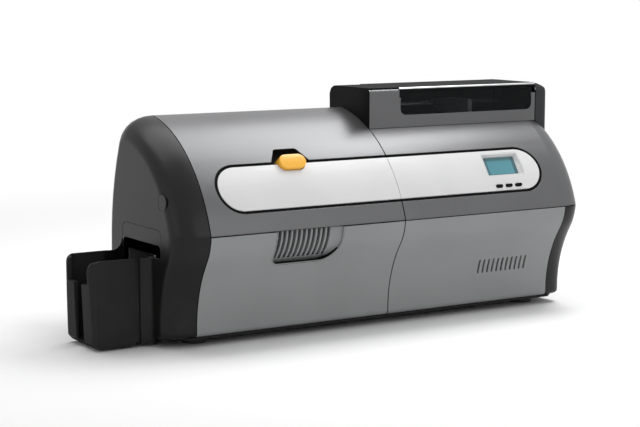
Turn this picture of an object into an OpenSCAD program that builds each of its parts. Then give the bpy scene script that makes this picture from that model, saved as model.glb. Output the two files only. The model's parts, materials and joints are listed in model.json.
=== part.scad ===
// Desktop card printer with an output hopper on its left end, a hinged print
// cover, and a feeder module with a lidded card hopper on the right.
// X runs left to right, Y from the nose to the back, Z up from the desk.

/* [Overall] */
// Depth from the nose to the back of the rear housing
overall_depth = 277; // [272:1:335]
// Depth of the curved body, nose to its own back wall
body_depth = 206.5; // [185:0.5:215]
// Height of the crown of the covers above the desk
crown_h = 277.8; // [265:0.1:300]
// Height of the hopper lid above the crown
hopper_rise = 28.2; // [20:0.1:45]
// How far the output hopper stands out from the left face
out_len = 79.5; // [60:0.5:100]
// Length of the left end cap
left_cap_len = 42; // [34:0.5:52]
// Length of the print module between its two seams
print_len = 282.4; // [276:0.1:345]
// Length of the feeder module between its two seams
feeder_len = 265.6; // [258:0.1:320]
// Length of the right end cap
right_cap_len = 29.5; // [24:0.5:36]
// How far the hopper's right end stands out past the end cap
hopper_over = 9; // [0:0.5:12]

/* [Covers] */
// Wall of the covers, panels and end caps
wall = 3; // [2.4:0.1:4]
// Gap at the seams between covers
seam = 0.6; // [0.3:0.1:1.2]
// Height of the seam between the lower panels and the upper covers
seam_h = 141.5; // [136:0.5:148]
// Height of the foremost line of the nose
nose_h = 140.1; // [134:0.1:146]
// Radius of the nose
nose_r = 16; // [12:0.5:20]
// Radius of the swell under the nose
chin_r = 65; // [55:1:75]
// Radius of the hollow at the waist
waist_r = 150; // [130:1:180]
// How far the foot of the front lies behind the nose
waist_set = 39; // [34:0.5:44]
// Radius of the long front curve of the upper covers
front_r = 193; // [186:1:215]
// Radius at the top rear of the covers
crown_r = 22; // [16:0.5:28]
// Radius of the rear wall's curve
rear_r = 400; // [340:5:480]

/* [Front strip] */
// Width of the front strip, measured up its slope
strip_w = 60; // [48:0.5:66]
// Height of the strip's lower edge above the desk
strip_low_h = 169; // [166:0.5:176]
// Distance of the strip's left end from the left seam
strip_left = 24.6; // [18:0.2:40]
// Distance of the strip's right end from the right seam
strip_right = 29; // [20:0.5:45]
// Thickness of the strip
strip_t = 1.8; // [1.2:0.1:2.2]
// Width of the shadow groove round the strip
groove_w = 4; // [2:0.5:6]

/* [Card path] */
// Height of the card's underside on its path
card_h = 124; // [120:0.5:128]
// Width of a card
card_w = 54; // [54:0.1:56]
// Length of a card
card_l = 85.6; // [85:0.1:87]
// Thickness of a card
card_t = 0.8; // [0.5:0.1:1.2]
// Distance of the card path's middle behind the nose
path_set = 118.5; // [112:0.5:124]
// Distance between roller stations
roller_step = 80; // [76:0.5:84]
// Radius of the driven rollers
roller_r = 8; // [7:0.5:9]
// Radius of the roller shafts
shaft_r = 3; // [2.5:0.1:3.5]
// Clear width between the front and rear frames
frame_gap = 70; // [66:0.5:74]
// Thickness of the frames
frame_t = 3; // [2:0.5:4]
// Running clearance of shafts and pins, on the radius
run_fit = 0.06; // [0.03:0.01:0.1]

/* [Hopper] */
// Distance of the hopper's front behind the nose
hopper_set = 84.4; // [82:0.1:90]
// Outside depth of the card hopper
hopper_depth = 98; // [90:1:106]
// Room across the card well beyond a card's width
well_gap = 4; // [3:0.5:6]
// Room above the cards in the well
well_head = 2.4; // [2:0.1:4]
// Length of the fixed part at the hopper's left end
fixed_len = 48; // [40:0.5:56]
// Radius of the guide rod of the card pusher
rod_r = 3; // [2.5:0.1:4]

/* [Output hopper] */
// Width of the output hopper
out_w = 79; // [74:0.5:84]
// Height of its side walls
out_h = 111; // [96:0.5:112]
// Height of its end wall
out_end_h = 80.5; // [60:0.5:90]
// Wall of the output hopper
out_wall = 2.5; // [2:0.1:3.5]
// Width of the thumb slot
thumb_w = 22; // [16:0.5:28]

/* [Base] */
// Height of the rubber feet
foot_h = 10; // [8:0.5:12]
// Radius of the rubber feet
foot_r = 17; // [13:0.5:19]
// Thickness of the base pan
pan_t = 2.5; // [2:0.1:3.5]
// Height of the rear housing's top edge
rear_housing_h = 208; // [170:1:212]

/* [Hidden] */
$fn = 48;

// Places along X
total_len = out_len + left_cap_len + print_len + feeder_len + right_cap_len + hopper_over;
x_left = -total_len / 2;
x_face = x_left + out_len;
x_a = x_face + left_cap_len;
x_m = x_a + print_len;
x_r = x_m + feeder_len;
x_end = x_r + right_cap_len;

// Places along Y and Z
nose_y = -overall_depth / 2;
back_y = overall_depth / 2;
rear_y = nose_y + body_depth;
waist_y = nose_y + waist_set;
pan_top = foot_h + pan_t;
top_h = crown_h + hopper_rise;
card_y = nose_y + path_set;
frame_f = card_y - frame_gap / 2;
frame_b = card_y + frame_gap / 2;

// Centres of the arcs of the body's section, each touching the next
function circ_meet(a, ra, b, rb) =
    let (v = b - a, d = norm(v), e = v / d)
    let (u = (ra * ra - rb * rb + d * d) / (2 * d))
    a + u * e + sqrt(ra * ra - u * u) * [-e.y, e.x];
function ang(v) = let (t = atan2(v.y, v.x)) t < 0 ? t + 360 : t;
function arc(c, r, a0, a1, n) =
    [for (i = [0:n]) c + r * [cos(a0 + (a1 - a0) * i / n), sin(a0 + (a1 - a0) * i / n)]];

rear_flat_h = 104;
waist_flat_h = 22.5;
foot_corner = 6;
c_waist = [waist_y - waist_r, waist_flat_h];
c_nose = [nose_y + nose_r, nose_h];
c_chin = circ_meet(c_nose, chin_r - nose_r, c_waist, waist_r + chin_r);
c_rear = [rear_y - rear_r, rear_flat_h];
crown_z = crown_h - crown_r;
c_crown = [c_rear.x + sqrt(pow(rear_r - crown_r, 2) - pow(crown_z - rear_flat_h, 2)), crown_z];
c_front = circ_meet(c_crown, front_r - crown_r, c_nose, front_r - nose_r);
a_chin = ang(c_nose - c_chin);
a_nose = ang(c_nose - c_front);
a_front = ang(c_crown - c_front);
a_crown = ang(c_crown - c_rear);

// Drops a point that repeats the one before it
function distinct(s) = [for (i = [0:len(s) - 1]) if (norm(s[i] - s[(i + 1) % len(s)]) > 0.01) s[i]];
// The body's section, moved inwards by t
function section(t) = distinct(concat(
    arc([waist_y + foot_corner, pan_top + foot_corner], foot_corner - t, 270, 180, 4),
    arc(c_waist, waist_r + t, 0, ang(c_chin - c_waist), 10),
    arc(c_chin, chin_r - t, ang(c_waist - c_chin), a_chin, 6),
    arc(c_nose, nose_r - t, a_chin, a_nose, 6),
    arc(c_front, front_r - t, a_nose, a_front, 24),
    arc(c_crown, crown_r - t, a_front, a_crown, 9),
    arc(c_rear, rear_r - t, a_crown, 0, 6),
    arc([rear_y - foot_corner, pan_top + foot_corner], foot_corner - t, 0, -90, 4)
));
// Front surface of the upper covers at height z, t inside the skin
function front_y(z, t = 0) = c_front.x - sqrt(pow(front_r - t, 2) - pow(z - c_front.y, 2));

// The strip's own plane: a chord of the front curve
chord_a = ang([front_y(strip_low_h), strip_low_h] - c_front) - 2 * asin(strip_w / 2 / front_r);
strip_top = c_front + front_r * [cos(chord_a), sin(chord_a)];
strip_mid = ([front_y(strip_low_h), strip_low_h] + strip_top) / 2;
strip_tilt = ang(strip_top - [front_y(strip_low_h), strip_low_h]);
strip_x0 = x_a + strip_left;
strip_x1 = x_r - strip_right;

// Frames, rollers and print head
head_x = x_a + 138;
eject_x = head_x - 2 * roller_step;
exit_x = head_x - roller_step;
transfer_x = head_x + roller_step;
drop_x = x_m + 26.5;
flip_x = drop_x + 0.5;
feed_x = drop_x - roller_r - 0.2;
roller_z = card_h - roller_r;
pulley_r = 9;
belt_y0 = frame_b + frame_t + 2.5;
belt_w = 6;
belt_t = 1.5;
motor_x = exit_x + 40;
motor_z = 56;
motor_pulley_r = 7;
motor_side = 42;
motor_len = 34;
bay_low_h = seam_h + 4.5;
spool_x = [head_x - 76, head_x + 72];
spool_z = 176;
spool_tall = 232;
bush_r = 5;
flip_r = 43;
flip_hub_r = 8;

// Print cover hinge
hinge_y = c_rear.x + sqrt(rear_r * rear_r - pow(226 - rear_flat_h, 2)) + 6;
hinge_z = 226;
hinge_r = 5;
pin_r = 2;
hinge_x = [x_a + 45, x_m - 45];

// Card hopper
hop_y0 = nose_y + hopper_set;
hop_y1 = hop_y0 + hopper_depth;
hop_x0 = x_m + 0.3;
hop_x1 = x_end + hopper_over;
hop_end_r = 28;
hop_rear_r = 14;
lid_x0 = x_m + fixed_len;
lid_x1 = hop_x1 - hop_end_r + 2;
lid_t = 3;
hop_wall = 2.5;
well_w = card_w + well_gap;
well_h = card_l + well_head;
well_y0 = card_y - well_w / 2;
well_y1 = card_y + well_w / 2;
well_x0 = x_m + 6;
well_x1 = x_end - 20;
well_z0 = top_h - lid_t - well_h;
window_h = 269;
barrel_r = 4.2;
lid_axis = [hop_y1 - barrel_r, top_h - barrel_r];
barrels = 9;
rod_y = well_y1 + 14;
rod_z = top_h - 29;
pick_x = drop_x - 0.5 - 9;
pick_z = well_z0 + 28;
pick_r = 9;
feed_z = well_z0 - 24;

// Output hopper and the neck it plugs on to
out_y0 = card_y - 38.8;
out_y1 = out_y0 + out_w;
out_x1 = x_face - 19.5;
neck_x0 = x_face - 13.5;
out_floor = 3;
out_mid = (out_y0 + out_y1) / 2;

// Rear housing
bulge_x0 = x_a + 20;
bulge_x1 = x_r - 14;
board_x0 = x_m + 80;
board_x1 = board_x0 + 78;
board_y = back_y - 22;

// Colours
c_shell = [0.27, 0.27, 0.26];
c_silver = [0.52, 0.53, 0.54];
c_panel = [0.47, 0.48, 0.49];
c_white = [0.92, 0.92, 0.91];
c_black = [0.08, 0.08, 0.08];
c_dark = [0.18, 0.18, 0.18];
c_steel = [0.72, 0.73, 0.75];
c_yellow = [0.97, 0.73, 0.2];
c_teal = [0.3, 0.68, 0.7];
c_board = [0.1, 0.4, 0.22];
c_rubber = [0.12, 0.12, 0.12];
c_natural = [0.88, 0.86, 0.8];

// ---- helpers ----
module along_x(x0, x1) translate([x0, 0, 0]) rotate([90, 0, 90]) linear_extrude(x1 - x0) children();
module along_y(y0, y1) translate([0, y1, 0]) rotate([90, 0, 0]) linear_extrude(y1 - y0) children();
module along_z(z0, z1) translate([0, 0, z0]) linear_extrude(z1 - z0) children();
module block(x, y, z) translate([x[0], y[0], z[0]]) cube([x[1] - x[0], y[1] - y[0], z[1] - z[0]]);
module rod_along_y(x, z, r, y0, y1) translate([x, y1, z]) rotate([90, 0, 0]) cylinder(r = r, h = y1 - y0);
module rod_along_x(y, z, r, x0, x1) translate([x0, y, z]) rotate([0, 90, 0]) cylinder(r = r, h = x1 - x0);
module post(x, y, r, z0, z1) translate([x, y, z0]) cylinder(r = r, h = z1 - z0);
// Rectangle with round corners, given by two opposite corners
module round_rect(p, q, r) {
    translate([p.x + r, p.y]) square([q.x - p.x - 2 * r, q.y - p.y]);
    translate([p.x, p.y + r]) square([q.x - p.x, q.y - p.y - 2 * r]);
    for (x = [p.x + r, q.x - r], y = [p.y + r, q.y - r]) translate([x, y]) circle(r);
}
// Slice of the skin between depths t0 and t1
module skin(t0, t1) difference() {
    polygon(section(t0));
    polygon(section(t1));
}
module upper_skin(t0, t1) intersection() {
    skin(t0, t1);
    translate([nose_y - 5, seam_h + seam / 2]) square([body_depth + 10, crown_h]);
}
module lower_skin(t0, t1) intersection() {
    skin(t0, t1);
    translate([nose_y - 5, pan_top]) square([waist_set + 26, seam_h - seam / 2 - pan_top]);
}
// Puts a drawing on the strip's plane, from depth h0 to h1 along its normal
module on_strip(h0, h1) translate([0, strip_mid.x, strip_mid.y]) rotate([strip_tilt, 0, 0])
    translate([0, 0, h0]) linear_extrude(h1 - h0) children();
module strip_outline(grow) round_rect([strip_x0 - grow, -strip_w / 2 - grow],
    [strip_x1 + grow, strip_w / 2 + grow], strip_w / 2 + grow - 0.01);

// ---- end caps: the section drawn in towards a flat end face ----
cap_in_front = 30;
cap_in_rear = 20;
cap_in_top = 30;
cap_rings = 7;
function drawn_in(p, len) =
    let (k = pow(len / left_cap_len, 1.5), f = cap_in_front * k, b = cap_in_rear * k, h = cap_in_top * k)
    [nose_y + f + (p.x - nose_y) * (body_depth - f - b) / body_depth,
        p.y < nose_h ? p.y : nose_h + (p.y - nose_h) * (crown_h - h - nose_h) / (crown_h - nose_h)];
// Solid end of the body, growing along +X from 0 to len, inset by t. The outlines of its
// two flat faces start on the rear wall, from where all of the hollow waist is in sight.
module end_form(len, t, back) {
    s = section(t);
    n = len(s);
    first = n - 7;
    rings = concat([[for (p = s) [-back, p.x, p.y]]],
        [for (k = [0:cap_rings]) let (a = 90 * k / cap_rings)
            [for (p = s) let (q = drawn_in(p, len), c = cos(a))
                [(len - t) * sin(a), q.x + (p.x - q.x) * c, q.y + (p.y - q.y) * c]]]);
    m = len(rings);
    polyhedron(
        points = [for (g = rings) for (p = g) p],
        faces = concat(
            [[for (i = [n - 1:-1:0]) (i + first) % n]],
            [for (k = [0:m - 2], i = [0:n - 1]) let (j = (i + 1) % n)
                [k * n + j, (k + 1) * n + i, k * n + i]],
            [for (k = [0:m - 2], i = [0:n - 1]) let (j = (i + 1) % n)
                [(k + 1) * n + j, (k + 1) * n + i, k * n + j]],
            [[for (i = [0:n - 1]) (m - 1) * n + (i + first) % n]]));
}
module end_shell(len) difference() {
    end_form(len, 0, 0);
    end_form(len, wall, 1);
}

// ---- base ----
module foot_places() for (p = [[x_a + 16, waist_y + 38], [x_r - 15, waist_y + 38],
    [x_a + 46, back_y - 24], [x_r - 40, back_y - 24]]) translate([p.x, p.y, 0]) children();

module base_pan() color(c_dark) {
    difference() {
        union() {
            along_z(foot_h, pan_top) polygon([[x_a - 6, waist_y + 2], [x_r + 6, waist_y + 2],
                [x_end - 10, waist_y + 14], [x_end - 10, rear_y - 10], [x_r + 6, rear_y - 2],
                [x_a - 6, rear_y - 2], [x_a - 20, rear_y - 10], [x_a - 20, waist_y + 14]]);
            block([bulge_x0 + 2, bulge_x1 - 2], [rear_y - 2, back_y - 4], [foot_h, pan_top]);
        }
        for (i = [0:11]) block([x_m + 40 + i * 9, x_m + 44 + i * 9], [card_y + 6, card_y + 56],
            [foot_h - 1, pan_top + 1]);
    }
    for (y = [card_y - 14, card_y + 12]) block([x_a + 4, x_r - 4], [y, y + 2], [pan_top - 0.1, pan_top + 8]);
    for (i = [0:6]) block([x_a + 40 + i * 78, x_a + 42 + i * 78], [card_y - 13, card_y + 13],
        [pan_top - 0.1, pan_top + 8]);
}

module rubber_feet() color(c_rubber) foot_places() difference() {
    union() {
        cylinder(r1 = foot_r - 1.5, r2 = foot_r, h = foot_h - 3);
        translate([0, 0, foot_h - 3]) cylinder(r = foot_r, h = 3);
    }
    translate([0, 0, -1]) cylinder(r = foot_r * 0.4, h = 4);
}

// ---- casings ----
exit_z0 = card_h - 12;
exit_z1 = card_h + 22.6;
exit_y0 = card_y - 70;
exit_y1 = card_y + 37.4;
plug_y = card_y - 73;
plug_z = 181;
plug_r = 10;
module exit_outline(g) round_rect([exit_y0 - g, exit_z0 - g], [exit_y1 + g, exit_z1 + g], 10 + g);

module left_end_cap() color(c_shell) {
    difference() {
        translate([x_a - seam / 2, 0, 0]) mirror([1, 0, 0]) end_shell(left_cap_len - seam / 2);
        along_x(x_face - 1, x_face + 8) exit_outline(0.2);
        rod_along_x(plug_y, plug_z, plug_r - 2, x_face - 1, x_face + 8);
        rod_along_x(plug_y, plug_z, plug_r + 0.2, x_face - 1, x_face + 1.2);
        // the card stack reaches from the hopper into the cap
        block([x_face - 1, x_face + 8], [out_y0 + out_wall, out_y1 - out_wall], [foot_h - 3, exit_z0 + 2]);
    }
    // wall that closes the cap beside the print bay
    difference() {
        along_x(x_a - seam / 2 - 2.5, x_a - seam / 2) intersection() {
            polygon(section(wall));
            translate([nose_y, bay_low_h + 1]) square([body_depth, crown_h]);
        }
        rod_along_x(card_y + 70, 200, 6, x_a - 10, x_a + 1);
    }
    neck();
}

// Short neck that carries the output hopper, flared on to the end face
flare = 13.5;
module neck() {
    z0 = 4.5;
    z1 = exit_z0 - 1;
    along_z(z0, z1) difference() {
        union() {
            translate([neck_x0, out_y0]) square([x_face - neck_x0 + 0.5, out_wall]);
            translate([x_face - flare, out_y0 - flare]) square([flare + 0.5, flare + 0.5]);
        }
        translate([x_face - flare + 0.4, out_y0 - flare]) circle(flare);
    }
    block([neck_x0, x_face + 14], [out_y0 + out_wall - 0.5, out_y1 - 0.5], [z0, z0 + out_wall]);
    along_y(out_y1 - out_wall, out_y1) difference() {
        translate([neck_x0, z0]) square([x_face - neck_x0 + 0.5, z1 + flare - z0]);
        translate([neck_x0 - 1, z1 + flare]) circle(flare);
    }
    // tongue inside the hopper's open end
    difference() {
        block([out_x1 - 6, neck_x0 + 1], [out_y0 + out_wall, out_y1 - out_wall],
            [out_floor + out_wall, z1]);
        block([out_x1 - 7, neck_x0 + 2], [out_y0 + out_wall + 2, out_y1 - out_wall - 2],
            [out_floor + out_wall + 2, z1 + 1]);
    }
}

module right_end_cap() color(c_shell) intersection() {
    translate([x_r + seam / 2, 0, 0]) end_shell(right_cap_len - seam / 2);
    block([x_r, x_end + 1], [nose_y - 1, rear_y + 1], [pan_top - 1, seam_h - seam / 2]);
}

vent_x0 = x_a + 92;
vent_x1 = x_a + 190;
vent_z0 = 97;
vent_pitch = 7.07;
vent_slot = 4.2;
vent_rim = 1.4;
module vent_outline(g, x1) difference() {
    union() {
        translate([vent_x0 - g, vent_z0 + 10 - g]) square([x1 - vent_x0 + 2 * g, seam_h - vent_z0]);
        translate([vent_x0 - g + 10, vent_z0 - g]) square([x1 - vent_x0 - 38 + 2 * g, 20]);
        translate([vent_x0 + 10, vent_z0 + 10]) circle(10 + g);
        translate([x1 - 28, vent_z0 + 28]) circle(28 + g);
    }
    translate([x1 - 28, vent_z0 - g - 1]) square([28 + g + 1, 29 + g]);
}
module vent_corner(g, x1) union() {
    vent_outline(g, x1);
    intersection() {
        translate([x1 - 28, vent_z0 + 28]) circle(28 + g);
        translate([x1 - 29, vent_z0 - g - 1]) square([60, 31 + g]);
    }
}

module left_front_panel() color(c_panel) difference() {
    along_x(x_a + seam / 2, x_m - seam / 2) lower_skin(0, wall);
    along_y(nose_y - 1, waist_y + 10) vent_corner(0.3, vent_x1);
}

slot_pitch = 7.8;
module right_front_panel() color(c_panel) difference() {
    along_x(x_m + seam / 2, x_r - seam / 2) lower_skin(0, wall);
    for (i = [0:10]) along_y(nose_y - 1, waist_y + 10)
        round_rect([x_r - 123 + i * slot_pitch, 55], [x_r - 120.2 + i * slot_pitch, 74], 1.3);
}

module vent_grille() color(c_panel) difference() {
    intersection() {
        along_x(vent_x0 - 3, vent_x1 + 3) intersection() {
            skin(0, wall + 9);
            translate([nose_y - 5, vent_z0 - 3]) square([60, seam_h - seam / 2 - vent_z0 + 3]);
        }
        union() {
            along_y(nose_y - 1, waist_y + 30) vent_corner(0, vent_x1);
            intersection() {
                along_y(nose_y - 1, waist_y + 30) vent_corner(2.5, vent_x1);
                along_x(vent_x0 - 3, vent_x1 + 3) skin(wall + 0.05, wall + 9);
            }
        }
    }
    intersection() {
        along_y(nose_y - 5, waist_y + 30) vent_corner(-vent_rim, vent_x1);
        vent_scoop();
    }
    for (i = [0:10]) along_y(nose_y - 1, waist_y + 40)
        translate([vent_x0 + 5.4 + i * vent_pitch, vent_z0 + 8]) square([vent_slot, 60]);
}
// Face in front of the fins, turned about the chin's own axis; it sweeps out at its right end
scoop_deep = 6;
scoop_w = 15;
module vent_scoop() translate([0, c_chin.x, c_chin.y]) rotate([0, 90, 0]) rotate_extrude()
    polygon(concat([[chin_r + 4, vent_x0], [chin_r - scoop_deep, vent_x0]],
        [for (a = [0:10:80]) [chin_r - scoop_deep * cos(a), vent_x1 - scoop_w * (1 - sin(a))]],
        [[chin_r + 4, vent_x1]]));

// ---- print cover ----
latch_x = x_a + 138;
latch_s = strip_w / 2 + 1;
button_w = 38;
button_h = 20;
module button_outline(g) round_rect([latch_x - button_w / 2 - g, latch_s - button_h / 2 - g],
    [latch_x + button_w / 2 + g, latch_s + button_h / 2 + g], button_h / 2 + g - 0.01);
module latch_recess(g) hull() {
    for (s = [-1, 1]) {
        translate([latch_x + s * (24 + g), strip_w / 2 + 2]) circle(4, $fn = 24);
        translate([latch_x + s * (13 + g), strip_w / 2 + 19 + g]) circle(5, $fn = 24);
    }
}
pocket_t = 9;

module print_cover() color(c_silver) {
    difference() {
        union() {
            along_x(x_a + seam / 2, x_m - seam / 2) cover_slice(0, wall);
            // ribs behind the skin at both ends and beside the head
            for (x = [x_a + 1.5, head_x - 34, head_x + 32, x_m - 3.5])
                along_x(x, x + 2) cover_slice(wall - 0.5, wall + 7);
            intersection() {
                along_x(x_a + 20, x_m - 20) cover_slice(wall - 0.5, pocket_t + 2.5);
                on_strip(-30, 12) latch_recess(3);
            }
        }
        intersection() {
            along_x(x_a, x_m + 10) skin(-3, strip_t);
            on_strip(-20, 12) strip_outline(groove_w);
        }
        intersection() {
            along_x(x_a + 20, x_m - 20) skin(-3, pocket_t);
            on_strip(-20, 12) latch_recess(0);
        }
        on_strip(-40, 12) button_outline(0.5);
    }
    // lugs for the latch lever's pivot
    for (s = [-1, 1]) difference() {
        intersection() {
            along_x(latch_x + s * 10 - 1.5, latch_x + s * 10 + 1.5) {
                bar(hook_pin, hook_pin + rot2(strip_tilt, [0, 40]), 11);
                translate(hook_pin) circle(5.5);
            }
            along_x(x_a, x_m) polygon(section(wall - 0.5));
        }
        rod_along_x(hook_pin.x, hook_pin.y, 2.5 + run_fit, latch_x - 20, latch_x + 20);
        on_strip(-14, 12) button_outline(0.5);
    }
    // bosses that hold the head bracket
    for (x = [head_x - 14, head_x + 14], y = [card_y - 22, card_y + 20]) intersection() {
        post(x, y, 4, bracket_top, crown_h);
        along_x(x - 5, x + 5) polygon(section(wall - 0.5));
    }
    for (x = hinge_x) difference() {
        union() {
            rod_along_x(hinge_y, hinge_z, hinge_r, x - 10, x + 10);
            block([x - 10, x + 10], [hinge_y - 8, hinge_y - 1], [hinge_z, hinge_z + hinge_r]);
        }
        rod_along_x(hinge_y, hinge_z, pin_r + run_fit, x - 11, x + 11);
    }
}
// The cover's slice of the skin: from the nose seam over to its rear edge
module cover_slice(t0, t1) difference() {
    upper_skin(t0, t1);
    translate([hinge_y - 40, seam_h - 5]) square([60, hinge_z - 2 - seam_h + 5]);
}

module trim_slice(x0, x1) intersection() {
    along_x(x0, x1) skin(0, strip_t);
    on_strip(-10, 10) strip_outline(0);
}

module cover_trim() color(c_white) difference() {
    trim_slice(x_a, x_m - seam / 2);
    on_strip(-20, 12) button_outline(0.8);
}

bracket_top = 244;
bracket_half = 20;
module head_bracket() color(c_steel) {
    z0 = card_h + 44;
    y0 = card_y - 30;
    y1 = card_y + 28;
    difference() {
        union() {
            block([head_x - bracket_half, head_x + bracket_half], [y0, y1], [bracket_top - 2, bracket_top]);
            for (s = [-1, 1]) translate([head_x + s * (bracket_half - 1) - 1, 0, 0])
                block([0, 2], [y0, y1], [z0 - 12, bracket_top]);
        }
        for (s = [-1, 1]) rod_along_x(card_y, bracket_top - 30, 14, head_x - 40, head_x + 40);
        block([head_x - 6, head_x + 6], [y0 - 1, y0 + 14], [bracket_top - 3, bracket_top + 1]);
    }
}

module print_head() color(c_steel) {
    z0 = card_h + card_t + 0.7;
    y0 = card_y - 29;
    y1 = card_y + 27;
    // sloped carrier, finned heat sink and the ceramic bar along the platen
    along_y(y0, y1) polygon([[head_x - 9, z0 + 14], [head_x - 3, z0], [head_x + 3, z0],
        [head_x + 12, z0 + 9], [head_x + 18, z0 + 24], [head_x - 18, z0 + 24]]);
    for (i = [0:7]) block([head_x - 17.5 + i * 4.6, head_x - 15.5 + i * 4.6], [y0, y1],
        [z0 + 23, z0 + 42]);
    block([head_x - 18, head_x + 18], [card_y - 4, card_y + 4], [z0 + 23, z0 + 42]);
}

module latch_button() color(c_yellow) {
    intersection() {
        on_strip(-12, 10) button_outline(0);
        translate([0, strip_mid.x, strip_mid.y]) rotate([strip_tilt, 0, 0])
            translate([latch_x, latch_s, -72]) rotate([0, 90, 0])
                rotate_extrude($fn = 96) translate([0, -30]) square([78, 60]);
    }
    on_strip(-stem_len, -11) round_rect([latch_x - 13, latch_s - 6], [latch_x + 13, latch_s + 6], 3);
}

// Latch lever: the stem tips its top backwards, and its tooth swings off the catch
function rot2(a, p) = [p.x * cos(a) - p.y * sin(a), p.x * sin(a) + p.y * cos(a)];
stem_len = 15.6;
lever_t = 3;
stem_tip = strip_mid + rot2(strip_tilt, [latch_s, -stem_len]);
lever_top = stem_tip + rot2(strip_tilt, [0, -0.3 - lever_t * 0.8]);
hook_pin = stem_tip + [-2, -20];
catch_z = card_h + 8;
tooth = [frame_f - 19, catch_z - 5];
// direction in which the tooth leaves when the cover swings up
swing = let (v = [hinge_z - tooth.y, tooth.x - hinge_y]) [-v.x, -v.y] / norm(v);
module bar(p, q, w) translate(p) rotate(ang(q - p)) translate([-w / 2, -w / 2]) square([norm(q - p) + w, w]);
module latch_hook() color(c_dark) {
    x0 = latch_x - 7;
    x1 = latch_x + 7;
    along_x(x0, x1) {
        translate(lever_top) circle(lever_t * 0.8);
        bar(lever_top, hook_pin, lever_t - 1);
        bar(hook_pin, tooth + [-3, -1], lever_t);
        translate(hook_pin) circle(4.5);
        polygon([tooth + [-5, -2.5], tooth + [8, -2.5], tooth + [8, -1], tooth + 6 * swing + [8, -1],
            tooth + [-5, 6]]);
    }
    rod_along_x(hook_pin.x, hook_pin.y, 2.5, x0 - 7, x1 + 7);
}
module catch_outline() polygon([tooth + [8.8, 0.4], tooth + [30, 0.4], tooth + [30, 4],
    tooth + 6 * swing + [8.8, 0]]);

module cover_hinge_pins() color(c_steel) for (x = hinge_x)
    rod_along_x(hinge_y, hinge_z, pin_r, x - 21, x + 21);

// ---- feeder cover ----
module feeder_cover() color(c_silver) difference() {
    union() {
        along_x(x_m + seam / 2, x_r + seam) feeder_slice(0, wall);
        intersection() {
            translate([x_r + seam / 2, 0, 0]) end_shell(right_cap_len - seam / 2);
            block([x_r, x_end + 1], [nose_y - 1, rear_y + 1], [seam_h + seam / 2, top_h]);
        }
        difference() {
            along_x(x_m + seam / 2, x_m + seam / 2 + 2.4) difference() {
                polygon(section(wall - 0.5));
                square_at([nose_y, 0], [rear_y, bay_low_h + 1]);
                square_at([hinge_y - 12, 0], [rear_y, hinge_z - 2]);
                // room for the turning carriage
                square_at([frame_f, 0], [frame_b, card_h + flip_r]);
            }
            block([x_m, x_m + 4], [hop_y0, hop_y1 + 0.3], [hop_low - 0.1, crown_h + 9]);
        }
    }
    intersection() {
        along_x(x_m - 1, x_r + 1) skin(-3, strip_t);
        on_strip(-20, 12) strip_outline(groove_w);
    }
    on_strip(-20, 12) display_hole(0.2);
    on_strip(-20, 12) for (i = [-1:1]) menu_outline(i, 0.3);
    // cut for the card hopper, which stands in the cover
    block([x_m, hop_x1 + 1], [hop_y0 - 0.2, hop_y1 + 0.3], [hop_low - 0.1, top_h]);
    block([lid_x1 + 0.2, hop_x1 + 1], [hop_y0 - 0.3, hop_y1 + 0.3], [hop_end_z - 0.3, top_h]);
    block([x_m + 3, well_x1 + hop_wall + 0.3], [well_y0 - hop_wall - 0.3, well_y1 + hop_wall + 0.3],
        [well_z0 - 4, hop_low]);
}
hop_end_z = 232;
hop_low = c_front.y + sqrt(front_r * front_r - pow(c_front.x - hop_y0, 2));
module feeder_area() difference() {
    translate([nose_y - 5, seam_h + seam / 2]) square([body_depth + 10, crown_h]);
    translate([hinge_y - 40, seam_h - 5]) square([80, hinge_z - 2 - seam_h + 5]);
}
module feeder_slice(t0, t1) intersection() {
    skin(t0, t1);
    feeder_area();
}

disp_x = x_r - 86.2;
disp_s = 8.1;
disp_w = 62;
disp_h = 34;
lcd_w = 51;
lcd_h = 25.4;
module display_hole(g) round_rect([disp_x - disp_w / 2 - g, disp_s - disp_h / 2 - g],
    [disp_x + disp_w / 2 + g, disp_s + disp_h / 2 + g], 2 + g);
menu_x = disp_x - 2;
menu_s = -24;
menu_pitch = 16.1;
menu_w = 11;
menu_h = 4.2;
module menu_outline(i, g) round_rect([menu_x + i * menu_pitch - menu_w / 2 - g, menu_s - menu_h / 2 - g],
    [menu_x + i * menu_pitch + menu_w / 2 + g, menu_s + menu_h / 2 + g], menu_h / 2 + g - 0.01);

module feeder_trim() color(c_white) difference() {
    trim_slice(x_m + seam / 2, x_r);
    on_strip(-20, 12) display_hole(0.2);
    on_strip(-20, 12) for (i = [-1:1]) menu_outline(i, 0.3);
}

module display_bezel() color(c_white) difference() {
    intersection() {
        on_strip(-8, 4) display_hole(0);
        along_x(disp_x - disp_w, disp_x + disp_w) skin(0, 14);
    }
    // sloping well round the glass
    on_strip(-4.8, 6) round_rect([disp_x - lcd_w / 2, disp_s - lcd_h / 2],
        [disp_x + lcd_w / 2, disp_s + lcd_h / 2], 1);
    hull() {
        on_strip(-4.6, -4.5) translate([disp_x - lcd_w / 2 - 1, disp_s - lcd_h / 2 - 1])
            square([lcd_w + 2, lcd_h + 2]);
        on_strip(4, 5) translate([disp_x - disp_w / 2 + 0.2, disp_s - disp_h / 2 + 0.2])
            square([disp_w - 0.4, disp_h - 0.4]);
    }
}

module lcd_screen() color(c_teal) on_strip(-4.8, -3.4)
    round_rect([disp_x - lcd_w / 2 + 0.1, disp_s - lcd_h / 2 + 0.1],
        [disp_x + lcd_w / 2 - 0.1, disp_s + lcd_h / 2 - 0.1], 0.9);

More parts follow.
